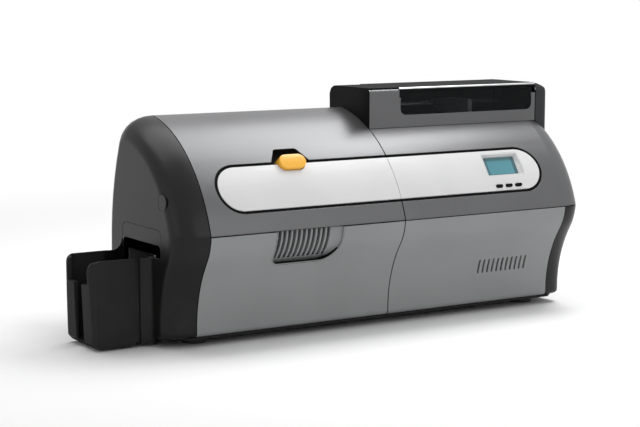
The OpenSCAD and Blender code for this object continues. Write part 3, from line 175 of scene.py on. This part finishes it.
mouldedSkin = dict(grainScale=1300.0, sheen=0.03, haze=0.10,
                   dustTo=0.09, dust=0.05, dustTone=(0.16, 0.155, 0.145))


def moulded(name, base, rough, grain, shine=0.3):
    # injection-moulded plastic with a spark-eroded skin and a little dust near the floor
    look = mouldedSkin
    p = Paint(name, IOR=1.49, Specular_IOR_Level=shine)
    cloud = p.noise(7.0, 4.0)
    pits = p.noise(look["grainScale"], 3.0, 0.65)
    streak = p.noise(60.0, 2.0, where=p.stretched((1.0, 1.0, 0.12)))
    colour = p.blend(p.band(cloud, 0.3, 0.7), tone(*base, k=0.94), tone(*base, k=1.06))
    dust = p.band(p.axis("Z"), look["dustTo"], 0.0) * p.band(p.noise(45.0, 4.0), 0.35, 0.8)
    p.link(p.blend(dust * look["dust"], colour, tone(*look["dustTone"])), "Base Color")
    p.link(rough + look["haze"] * (cloud - 0.5) + look["sheen"] * streak + 0.10 * dust, "Roughness")
    p.link(p.bump(pits, grain, 0.00025), "Normal")
    return p.material


def glossy(name, base, rough, coat):
    p = Paint(name, IOR=1.5, Coat_Roughness=0.06)
    cloud = p.noise(11.0, 4.0)
    rub = p.noise(330.0, 3.0, where=p.stretched((0.25, 1.0, 1.0)))
    p.link(p.blend(p.band(cloud, 0.3, 0.7), tone(*base, k=0.97), tone(*base, k=1.03)), "Base Color")
    p.link(rough + 0.06 * p.band(rub, 0.5, 0.85) + 0.03 * cloud, "Roughness")
    p.link(coat - 0.1 * coat * p.band(rub, 0.6, 0.9), "Coat Weight")
    p.link(p.bump(p.noise(700.0, 2.0), 0.04, 0.0002), "Normal")
    return p.material


def sheetSteel(name, base=(0.62, 0.63, 0.65), rough=0.33, brush=(1.0, 40.0, 40.0), spangle=True):
    p = Paint(name, Metallic=1.0)
    lines = p.noise(120.0, 4.0, 0.6, where=p.stretched(brush))
    if spangle:
        cells = p.add("ShaderNodeTexVoronoi", sockets={"Vector": p.coords, "Scale": 260.0}, out="Color")
        flakes = p.add("ShaderNodeSeparateColor", sockets={0: cells}, out=0)
        tint = p.blend(flakes * 0.35 + 0.3 * lines, tone(*base, k=0.86), tone(*base, k=1.08))
        p.link(rough + 0.10 * flakes, "Roughness")
    else:
        tint = p.blend(lines, tone(*base, k=0.9), tone(*base, k=1.06))
        p.link(rough + 0.12 * lines, "Roughness")
    p.link(tint, "Base Color")
    p.link(p.bump(lines, 0.06, 0.0002), "Normal")
    return p.material


def rubberSkin(name, base, rough=0.62):
    p = Paint(name, IOR=1.5)
    cloud = p.noise(30.0, 4.0)
    p.link(p.blend(cloud, tone(*base, k=0.8), tone(*base, k=1.25)), "Base Color")
    p.link(rough + 0.16 * (cloud - 0.5), "Roughness")
    p.link(p.bump(p.noise(1700.0, 3.0), 0.3, 0.0003), "Normal")
    return p.material


def boardLacquer(name):
    p = Paint(name, IOR=1.5)
    wires = p.add("ShaderNodeTexVoronoi", {"distance": "MANHATTAN"}, {
        "Vector": p.coords, "Scale": 190.0, "Randomness": 0.55}, out="Distance")
    line = p.band(wires, 0.24, 0.20) * p.band(wires, 0.14, 0.18)
    p.link(p.blend(line, tone(0.010, 0.095, 0.042), tone(0.03, 0.17, 0.075)), "Base Color")
    p.link(0.34 + 0.1 * p.noise(80.0), "Roughness")
    p.link(p.bump(line, 0.25, 0.0001), "Normal")
    return p.material


# where the bezel's shadow is painted on the display: heights, and places from left to right
lcdPaintedShadow = dict(top=(0.2035, 0.2070), left=(0.2090, 0.2070), right=(0.2480, 0.2505))


def lcdFace(name):
    # lit display: fine pixel grid, a soft glow, nothing written on it, and the bezel's shadow painted along
    # its top, left and right edges
    p = Paint(name, IOR=1.5, Coat_Roughness=0.05, Coat_Weight=0.25, Emission_Strength=0.10)
    cells = p.stretched((2200.0, 2200.0, 2200.0))
    dots = p.add("ShaderNodeTexBrick", {"offset": 0.0}, {
        "Vector": cells, "Scale": 1.0, "Mortar Size": 0.06, "Color1": tone(1.0), "Color2": tone(0.97),
        "Mortar": tone(0.82), "Brick Width": 1.0, "Row Height": 1.0})
    glow = p.band(p.axis("X"), 0.205, 0.262) * 0.25 + 0.12 * p.noise(70.0, 2.0)
    top, left, right = (p.band(p.axis(letter), *lcdPaintedShadow[side])
                        for letter, side in (("Z", "top"), ("X", "left"), ("X", "right")))
    # painted shadow of the bezel: the colour darkens towards the top, left and right edges
    shade = (1.0 - 0.6 * top) * (1.0 - 0.7 * right) * (1.0 - 0.6 * left)
    lit = p.blend(glow, tone(0.055, 0.225, 0.270), tone(0.085, 0.29, 0.34))
    ruled = p.add("ShaderNodeMix", {"data_type": "RGBA", "blend_type": "MULTIPLY"},
                  {0: 0.5, 6: lit, 7: dots}, out=2)
    seen = p.blend(shade, tone(0.010, 0.045, 0.055), ruled)
    p.link(seen, "Base Color")
    p.link(seen, "Emission Color")
    p.link(0.22 + 0.05 * p.noise(300.0), "Roughness")
    p.link(p.bump(p.noise(900.0), 0.02, 0.0001), "Normal")
    return p.material


def smokedGlass(name):
    p = Paint(name, IOR=1.49, Specular_IOR_Level=0.16)
    smear = p.noise(40.0, 4.0)
    p.link(p.blend(smear, tone(0.006, 0.008, 0.009), tone(0.010, 0.012, 0.013)), "Base Color")
    p.link(0.07 + 0.07 * p.band(smear, 0.5, 0.9), "Roughness")
    p.link(0.27 + 0.08 * smear, "Alpha")
    return p.material


def hopperShell(name):
    # textured black housing; its rounded front end is a little lighter, and light metallic grey is painted on
    # its top front edges as a highlight
    p = Paint(name, IOR=1.5, Coat_Roughness=0.16, Specular_IOR_Level=0.04)
    cloud = p.noise(8.0, 4.0)
    pits = p.noise(1500.0, 3.0, 0.65)
    shell = p.add("ShaderNodeAttribute", {"attribute_name": "shell"}, out="Fac")
    polish = p.add("ShaderNodeAttribute", {"attribute_name": "polish"}, out="Fac")
    black = p.blend(p.band(cloud, 0.3, 0.7), tone(0.0050), tone(0.0066))
    body = p.blend(shell, black, tone(0.046, 0.047, 0.049))
    # painted highlight: light metallic grey on the top front edges
    p.link(p.blend(polish, body, tone(0.42, 0.43, 0.44)), "Base Color")
    p.link(0.70 * polish, "Metallic")
    p.link(0.62 + 0.08 * cloud - 0.36 * polish, "Roughness")
    p.link(polish * (0.3 + 0.1 * cloud), "Coat Weight")
    p.link(p.bump(pits, 0.16, 0.0002), "Normal")
    return p.material


def ribbonFilm(name):
    # four colour panels that repeat along the film
    p = Paint(name, IOR=1.5, Specular_IOR_Level=0.5)
    along = p.add("ShaderNodeMath", {"operation": "FRACT"}, {0: p.axis("X") * 9.0 + 40.3})
    warm = p.blend(along > 0.25, tone(0.85, 0.66, 0.02), tone(0.62, 0.015, 0.16))
    cool = p.blend(along > 0.75, tone(0.01, 0.22, 0.55), tone(0.010))
    p.link(p.blend(along > 0.5, warm, cool), "Base Color")
    p.link(0.16 + 0.08 * p.noise(90.0), "Roughness")
    p.link(0.82 + 0.1 * p.noise(30.0), "Alpha")
    return p.material


finish = {
    "silver_cover": metallicPaint("silver_cover"), "grey_panel": metallicPaint("grey_panel"),
    "dark_shell": moulded("dark_shell", (0.0075, 0.0075, 0.0073), 0.28, grain=0.14, shine=0.22),
    "black_moulding": moulded("black_moulding", (0.026, 0.026, 0.026), 0.42, grain=0.16, shine=0.02),
    "black_plastic": hopperShell("black_plastic"),
    "white_trim": glossy("white_trim", (0.66, 0.66, 0.665), 0.38, 0.08),
    "yellow_button": glossy("yellow_button", (0.93, 0.47, 0.035), 0.28, 0.3),
    "lcd_glass": lcdFace("lcd_glass"), "smoked_window": smokedGlass("smoked_window"),
    "rubber": rubberSkin("rubber", (0.020, 0.020, 0.020)),
    "blue_rubber": rubberSkin("blue_rubber", (0.04, 0.17, 0.31), 0.48),
    "belt_rubber": rubberSkin("belt_rubber", (0.016, 0.016, 0.016)),
    "zinc_steel": sheetSteel("zinc_steel"),
    "ground_steel": sheetSteel("ground_steel", (0.70, 0.71, 0.73), 0.20, (40.0, 1.0, 40.0), spangle=False),
    "finned_aluminium": sheetSteel("finned_aluminium", (0.72, 0.73, 0.74), 0.34, (1.0, 30.0, 1.0),
                                   spangle=False),
    "board_green": boardLacquer("board_green"),
    "natural_nylon": moulded("natural_nylon", (0.74, 0.71, 0.62), 0.42, grain=0.08),
    "grey_nylon": moulded("grey_nylon", (0.19, 0.195, 0.20), 0.45, grain=0.08),
    "ribbon_film": ribbonFilm("ribbon_film"),
}
print("finishes made:", len(finish))


sharpAngle = math.radians(38.0)


def place(bm, name, paint, body, weighted=True, kind=None):
    # kind, the record's finish where the piece wears one that the record doesn't have, is not used
    mesh = bpy.data.meshes.new(name)
    bm.to_mesh(mesh)
    bm.free()
    mesh.shade_smooth()
    mesh.set_sharp_from_angle(angle=sharpAngle)
    piece = bpy.data.objects.new(name, mesh)
    bpy.context.scene.collection.objects.link(piece)
    mesh.materials.append(finish[paint])
    if weighted:
        mod = piece.modifiers.new("evenNormals", "WEIGHTED_NORMAL")
        mod.keep_sharp = True
        mod.weight = 100
    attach(piece, body)
    kind or paint
    return piece


rounding = dict(steps=2, room=1.3)


def rounded(bm, width):
    # an edge beside a face too narrow for the rounding stays sharp
    room = rounding["room"] * width
    roomy = {f for f in bm.faces if f.calc_area() > room * max(e.calc_length() for e in f.edges)}
    found = [e for e in bm.edges if len(e.link_faces) == 2 and e.calc_face_angle(0.0) > sharpAngle
             and e.is_convex and all(f in roomy for f in e.link_faces)]
    bmesh.ops.bevel(bm, geom=found, offset=width, offset_type="OFFSET", affect="EDGES", profile=0.5,
                    segments=rounding["steps"], material=-1, clamp_overlap=False, loop_slide=True)


merging = dict(apart=1e-5, flat=math.radians(0.35))


def copyOf(node):
    # a carried-over part with its loose triangles joined into whole faces
    bm = bmesh.new()
    bm.from_mesh(nodes[node].data)
    bmesh.ops.remove_doubles(bm, verts=bm.verts, dist=merging["apart"])
    bmesh.ops.dissolve_limit(bm, angle_limit=merging["flat"], verts=bm.verts, edges=bm.edges)
    return bm


# edge rounding of each carried-over part, in millimetres
edgeOf = {
    "left_end_cap": 0.45, "right_end_cap": 0.45, "left_front_panel": 0.45, "right_front_panel": 0.35,
    "vent_grille": 0.35, "feeder_cover": 0.5, "print_cover": 0.5, "feeder_trim": 0.35, "cover_trim": 0.35,
    "display_bezel": 0.3, "exit_bezel": 0.4, "side_plug": 0.1, "output_hopper": 0.7, "rear_cover": 0.5,
    "hopper_housing": 0.7, "hopper_front": 0.5, "hopper_lid": 0.5, "lid_window": 0.3, "latch_button": 0.8,
    "menu_button_left": 0.4, "menu_button_middle": 0.4, "menu_button_right": 0.4, "power_rocker": 0.4,
    "power_inlet": 0.3, "connector_plate": 0.15, "usb_socket": 0.15, "ethernet_socket": 0.15,
    "rubber_feet": 0.8, "base_pan": 0.25, "fan_frame": 0.4, "fan_rotor": 0.2, "card_guide": 0.2,
    "flip_carriage": 0.4, "head_bracket": 0.25, "print_head": 0.2, "latch_hook": 0.3, "card_pusher": 0.4,
    "front_frame": 0.15, "rear_frame": 0.15, "supply_spool": 0.3, "takeup_spool": 0.3, "main_board": 0.15,
    "power_supply": 0.2, "drive_motor": 0.4, "motor_pulley": 0.25, "tie_rods": 0.2, "roller_bushes": 0.15,
    "eject_roller": 0.4, "exit_roller": 0.4, "platen_roller": 0.4, "transfer_roller": 0.4,
    "cleaning_roller": 0.4, "feed_roller": 0.4, "pick_roller": 0.4, "cover_hinge_pins": 0.2,
    "lid_hinge_pin": 0.15, "pusher_rod": 0.25, "lcd_screen": 0.15, "drive_belt": 0.15,
}
# what of a painted cover shows near black: its inside, as bare plastic, and its seam edges and the grooves
# cut into its front, as painted shade;
# seams are counted from the left end, and a groove is where the front lies below its own arc
bareAndShadeRule = dict(middle=(-0.02, 0.13), across=0.9, edge=0.25, seams=(0.1215, 0.4039), seam=0.004,
                seamHeight=0.1415, seamHalf=0.0011, frontAxis=(0.0467, 0.0879), frontRadius=0.193,
                depth=0.0007, cutHeight=(0.150, 0.246), cutAlong=(0.1335, 0.6515), cutBefore=-0.05)
leftEnd = cadBox[0][0]
seamAt = [leftEnd + x for x in bareAndShadeRule["seams"]]
cutAt = [leftEnd + x for x in bareAndShadeRule["cutAlong"]]


def markBareAndShade(bm, cut):
    rule = bareAndShadeRule
    layer = bm.faces.layers.float.new("bare")
    middle = Vector((0.0, *rule["middle"]))
    for face in bm.faces:
        c, n = face.calc_center_median(), face.normal
        middle.x = c.x
        inner = n.dot(c - middle) < 0 and abs(n.x) < rule["across"]
        # painted shade: seam edges and grooves get the near black of the bare inside
        seam = (abs(n.x) > rule["edge"] and min(abs(c.x - x) for x in seamAt) < rule["seam"]
                or abs(n.z) > rule["edge"] and abs(c.z - rule["seamHeight"]) < rule["seamHalf"])
        fromAxis = math.hypot(c.y - rule["frontAxis"][0], c.z - rule["frontAxis"][1])
        groove = (cut and rule["frontRadius"] - fromAxis > rule["depth"] and c.y < rule["cutBefore"]
                  and rule["cutHeight"][0] < c.z < rule["cutHeight"][1] and cutAt[0] < c.x < cutAt[1])
        face[layer] = 1.0 if inner or seam or groove else 0.0


# the hopper's outside at its right end is the colour of its front, and light metallic grey is painted on its
# top front edges as a highlight
shellRule = dict(rightOf=0.330, sideways=0.05, forward=-0.3, notUp=0.8, polish=(0.25, 0.93),
                 paintedHighlightForward=-0.2, above=0.296, before=-0.045)


def markShell(bm):
    rule = shellRule
    shell, polish = (bm.faces.layers.float.new(n) for n in ("shell", "polish"))
    for face in bm.faces:
        c, n = face.calc_center_median(), face.normal
        outside = n.x > rule["sideways"] or n.y < rule["forward"]
        face[shell] = 1.0 if c.x > rule["rightOf"] and outside and n.z < rule["notUp"] else 0.0
        # the painted highlight's mask: faces near the top front that look up and forward
        edge = (rule["polish"][0] < n.z < rule["polish"][1] and n.y < rule["paintedHighlightForward"]
                and c.z > rule["above"] and c.x < rule["rightOf"] and c.y < rule["before"])
        face[polish] = 1.0 if edge else 0.0


# radius of the front top edge of the lid and of the fixed plate beside it, rounder than the rest
lips = {"hopper_lid": 0.0024, "hopper_front": 0.0017}
lipRule = dict(near=0.0004, along=0.8, steps=5)


def frontLip(bm, width):
    near = lipRule["near"]
    front, top = min(v.co.y for v in bm.verts), max(v.co.z for v in bm.verts)
    edges = [e for e in bm.edges if all(v.co.y < front + near and v.co.z > top - near for v in e.verts)
             and abs(e.verts[0].co.x - e.verts[1].co.x) > lipRule["along"] * e.calc_length()]
    bmesh.ops.bevel(bm, geom=edges, offset=width, offset_type="OFFSET", affect="EDGES", profile=0.5,
                    segments=lipRule["steps"], material=-1)


# parts that wear another finish of the same plastic
wears = {"side_plug": "dark_shell", "card_pusher": "grey_nylon"}

skins = {}
for name in sorted(nodes):
    bm = copyOf(name)
    if name in lips:
        frontLip(bm, lips[name])
    rounded(bm, edgeOf[name] / 1000)
    if slotOf[name] in paintLook:
        bm.normal_update()
        markBareAndShade(bm, name in ("print_cover", "feeder_cover"))
    if slotOf[name] == "black_plastic":
        bm.normal_update()
        markShell(bm)
    skins[name] = place(bm, name + "_skin", wears.get(name, slotOf[name]), bodyOf[name], kind=slotOf[name],
                        weighted=name != "latch_button")
    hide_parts(name)
# the button is one soft tab: remeshed and smoothed
tab = dict(voxel=0.0006, factor=0.5, repeat=10)
soften = skins["latch_button"].modifiers.new("remesh", "REMESH")
soften.mode, soften.voxel_size, soften.use_smooth_shade = "VOXEL", tab["voxel"], True
smooth = skins["latch_button"].modifiers.new("smooth", "SMOOTH")
smooth.factor, smooth.iterations = tab["factor"], tab["repeat"]
print("skins made:", len(skins))


def boxOf(node):
    # the least and the greatest corner of a carried-over part
    points = [v.co for v in nodes[node].data.vertices]
    return [Vector([pick(p[i] for p in points) for i in range(3)]) for pick in (min, max)]


panHead = dict(radius=0.0038, height=0.0022, top=0.78, edge=0.35, edgeSteps=3, inset=0.22, lobes=6, lobe=0.14,
               deep=0.0012, segments=48)


def panHeadMesh():
    # one head on the XY plane, with its six-lobed socket
    radius, height = panHead["radius"], panHead["height"]
    bm = bmesh.new()
    bmesh.ops.create_cone(bm, cap_ends=True, cap_tris=False, segments=panHead["segments"], radius1=radius,
                          radius2=radius * panHead["top"], depth=height)
    bmesh.ops.translate(bm, verts=bm.verts, vec=(0, 0, height / 2))
    cap = max(bm.faces, key=lambda f: f.calc_center_median().z)
    bmesh.ops.bevel(bm, geom=list(cap.edges), offset=height * panHead["edge"], offset_type="OFFSET",
                    affect="EDGES", segments=panHead["edgeSteps"], profile=0.5, material=-1)
    cap = max(bm.faces, key=lambda f: (round(f.calc_center_median().z, 7), f.calc_area()))
    bmesh.ops.inset_region(bm, faces=[cap], thickness=radius * panHead["inset"])
    for v in cap.verts:
        swell = 1 + panHead["lobe"] * math.cos(panHead["lobes"] * math.atan2(v.co.y, v.co.x))
        v.co.x, v.co.y = v.co.x * swell, v.co.y * swell
    sunk = bmesh.ops.extrude_discrete_faces(bm, faces=[cap])["faces"]
    bmesh.ops.translate(bm, verts=sunk[0].verts, vec=(0, 0, -panHead["deep"]))
    mesh = bpy.data.meshes.new("panHead")
    bm.to_mesh(mesh)
    bm.free()
    return mesh


def screws(name, body, facing, places, scale):
    bm = bmesh.new()
    turn = Vector((0, 0, 1)).rotation_difference(Vector(facing)).to_matrix().to_4x4()
    one = panHeadMesh()
    for at in places:
        before = len(bm.verts)
        bm.from_mesh(one)
        bm.verts.ensure_lookup_table()
        move = Matrix.Translation(at) @ turn @ Matrix.Scale(scale, 4)
        bmesh.ops.transform(bm, verts=bm.verts[before:], matrix=move)
    bpy.data.meshes.remove(one)
    return place(bm, name, "zinc_steel", body)


plateScrew = dict(edge=0.0045, scale=0.72)
plate, inset = boxOf("connector_plate"), plateScrew["edge"]
screws("plate_screws", bodyOf["connector_plate"], (0, 1, 0),
       [(x, plate[1].y, z) for x in (plate[0].x + inset, plate[1].x - inset)
        for z in (plate[0].z + inset, plate[1].z - inset)], plateScrew["scale"])

# what presses the print head down: two pins with their springs, from the head up into its bracket
pressing = dict(pin=0.0022, pinSides=24, coil=0.0048, wire=0.0007, wireSides=8, turns=11, steps=20,
                spread=0.018, below=0.002)
head, bracket = boxOf("print_head"), boxOf("head_bracket")
low, high = head[1].z, bracket[1].z - pressing["below"]
pinAt = [Vector(((head[0].x + head[1].x) / 2, (head[0].y + head[1].y) / 2 + side * pressing["spread"], 0))
         for side in (-1, 1)]
bm = bmesh.new()
for mid in pinAt:
    pin = bmesh.ops.create_cone(bm, cap_ends=True, segments=pressing["pinSides"], radius1=pressing["pin"],
                                radius2=pressing["pin"], depth=high - low)["verts"]
    bmesh.ops.translate(bm, verts=pin, vec=mid + Vector((0, 0, (low + high) / 2)))
place(bm, "head_pins", "ground_steel", bodyOf["print_head"])
bm = bmesh.new()
steps = pressing["turns"] * pressing["steps"]
for mid in pinAt:
    ring = bmesh.ops.create_circle(bm, cap_ends=False, segments=pressing["wireSides"],
                                   radius=pressing["wire"])["verts"]
    bmesh.ops.rotate(bm, verts=ring, cent=(0, 0, 0), matrix=Euler((math.radians(90), 0, 0)).to_matrix())
    bmesh.ops.translate(bm, verts=ring, vec=mid + Vector((pressing["coil"], 0, low + pressing["wire"])))
    bmesh.ops.spin(bm, geom=[e for e in bm.edges if all(v in ring for v in e.verts)], cent=mid,
                   axis=(0, 0, 1), dvec=(0, 0, (high - low - 2 * pressing["wire"]) / steps),
                   angle=2 * math.pi * pressing["turns"], steps=steps, use_merge=False)
bmesh.ops.holes_fill(bm, edges=[e for e in bm.edges if e.is_boundary], sides=pressing["wireSides"])
bmesh.ops.recalc_face_normals(bm, faces=bm.faces)
place(bm, "head_springs", "ground_steel", bodyOf["print_head"])

# the colour film runs from the full roll under the head to the empty one
film = dict(half=0.0265, thick=0.00012, under=0.00025, full=0.0272, empty=0.0162, turnIn=(0.006, 0.010))
rolls = [((low + high) / 2, film[roll])
         for (low, high), roll in ((boxOf("supply_spool"), "full"), (boxOf("takeup_spool"), "empty"))]


def tangent(point, middle, radius, side):
    # where a straight film from the point meets a roll, below or above it
    v = Vector((middle.x - point[0], middle.z - point[1]))
    lean = side * math.acos(radius / v.length)
    away = -v.normalized() * radius
    return (middle.x + away.x * math.cos(lean) - away.y * math.sin(lean),
            middle.z + away.x * math.sin(lean) + away.y * math.cos(lean))


filmZ = head[0].z - film["under"]
turnAt = [(head[0].x + film["turnIn"][0], filmZ), (head[1].x - film["turnIn"][1], filmZ)]
route = [tangent(turnAt[0], *rolls[0], 1), *turnAt, tangent(turnAt[1], *rolls[1], -1)]
bm = bmesh.new()
bmesh.ops.create_grid(bm, x_segments=len(route) - 1, y_segments=1, size=0.5)
across = rolls[0][0].y
for v in bm.verts:
    x, z = route[round((v.co.x + 0.5) * (len(route) - 1))]
    v.co = (x, across + math.copysign(film["half"], v.co.y), z)
bmesh.ops.solidify(bm, geom=bm.faces, thickness=film["thick"])
bmesh.ops.recalc_face_normals(bm, faces=bm.faces)
place(bm, "ribbon_film", "ribbon_film", bodyOf["front_frame"], weighted=False, kind="smoked_window")
print("fittings made")


# away from the object the floor becomes an even white that also lights the object a little
studio = dict(floorTone=0.90, floorCloud=1.01, floorSize=40.0, sky=0.44, whiteFrom=0.55, whiteTo=1.6)
lamps = {  # where it stands, what it points at, its width and height, its power
    "topBox": ((-0.22, 0.35, 1.55), (-0.22, -0.02, 0.2), (1.35, 0.9), 10.5),
    "brightBox": ((0.86, 0.35, 1.55), (0.86, -0.02, 0.2), (0.7, 0.9), 13.0),
    "feederBox": ((0.85, -0.22, 1.5), (0.2, -0.05, 0.25), (0.7, 0.3), 6.5),
    "frontBox": ((0.4, -2.4, 1.2), (0.1, -0.1, 0.1), (2.0, 1.2), 8.0),
    "sideBox": ((-2.2, -0.4, 0.9), (-0.2, 0.0, 0.1), (1.2, 1.2), 2.0),
    "rightBox": ((2.2, -1.2, 1.0), (0.2, 0.0, 0.1), (1.2, 1.2), 1.0),
}


def makeFloor():
    bm = bmesh.new()
    bmesh.ops.create_grid(bm, x_segments=1, y_segments=1, size=studio["floorSize"] / 2)
    p = Paint("paleFloor", Roughness=0.9, Specular_IOR_Level=0.1)
    pale = studio["floorTone"]
    p.link(p.blend(p.noise(2.0), tone(pale), tone(pale * studio["floorCloud"])), "Base Color")
    reach = p.add("ShaderNodeVectorMath", {"operation": "LENGTH"}, {0: p.coords}, out="Value")
    white = p.add("ShaderNodeEmission", sockets={"Color": tone(1.0), "Strength": 1.0})
    far = p.band(reach, studio["whiteFrom"], studio["whiteTo"])
    mixed = p.add("ShaderNodeMixShader", sockets={0: far, 1: Wire(p, p.shader.outputs[0]), 2: white})
    p.tree.links.new(mixed.socket, p.tree.nodes["Material Output"].inputs["Surface"])
    mesh = bpy.data.meshes.new("floor")
    bm.to_mesh(mesh)
    bm.free()
    mesh.materials.append(p.material)
    floor = bpy.data.objects.new("floor", mesh)
    bpy.context.scene.collection.objects.link(floor)


def makeWorld():
    # the camera, gloss and glass see white, and the light that falls on the object is dimmer
    world = bpy.data.worlds.new("studioSky")
    bpy.context.scene.world = world
    world.use_nodes = True
    tree = world.node_tree
    background = tree.nodes["Background"]
    background.inputs["Color"].default_value = tone(1.0)
    path = tree.nodes.new("ShaderNodeLightPath")
    seen = path.outputs["Is Camera Ray"]
    for ray in ("Is Glossy Ray", "Is Transmission Ray"):
        either = tree.nodes.new("ShaderNodeMath")
        either.operation = "MAXIMUM"
        tree.links.new(seen, either.inputs[0])
        tree.links.new(path.outputs[ray], either.inputs[1])
        seen = either.outputs[0]
    level = tree.nodes.new("ShaderNodeMapRange")
    tree.links.new(seen, level.inputs["Value"])
    level.inputs["To Min"].default_value = studio["sky"]
    level.inputs["To Max"].default_value = 1.0
    tree.links.new(level.outputs[0], background.inputs["Strength"])


def softBox(name, at, aim, size, power):
    data = bpy.data.lights.new(name, "AREA")
    data.shape, data.size, data.size_y, data.energy = "RECTANGLE", size[0], size[1], power
    lamp = bpy.data.objects.new(name, data)
    bpy.context.scene.collection.objects.link(lamp)
    lamp.location = at
    lamp.rotation_euler = (Vector(aim) - Vector(at)).to_track_quat("-Z", "Y").to_euler()


makeFloor()
makeWorld()
for name, lamp in lamps.items():
    softBox(name, *lamp)

lens = dict(focal=94.48, sensor=36.0, at=(leftEnd - 0.81905, -1.8848, 0.43768), pitch=-7.68, yaw=-32.06)
camera = bpy.data.objects.new("camera", bpy.data.cameras.new("camera"))
bpy.context.scene.collection.objects.link(camera)
camera.data.lens, camera.data.sensor_width = lens["focal"], lens["sensor"]
camera.location = lens["at"]
camera.rotation_euler = Euler((math.radians(90 + lens["pitch"]), 0, math.radians(lens["yaw"])))
bpy.context.scene.camera = camera
bpy.context.scene.view_settings.view_transform = "Standard"
print("studio made")
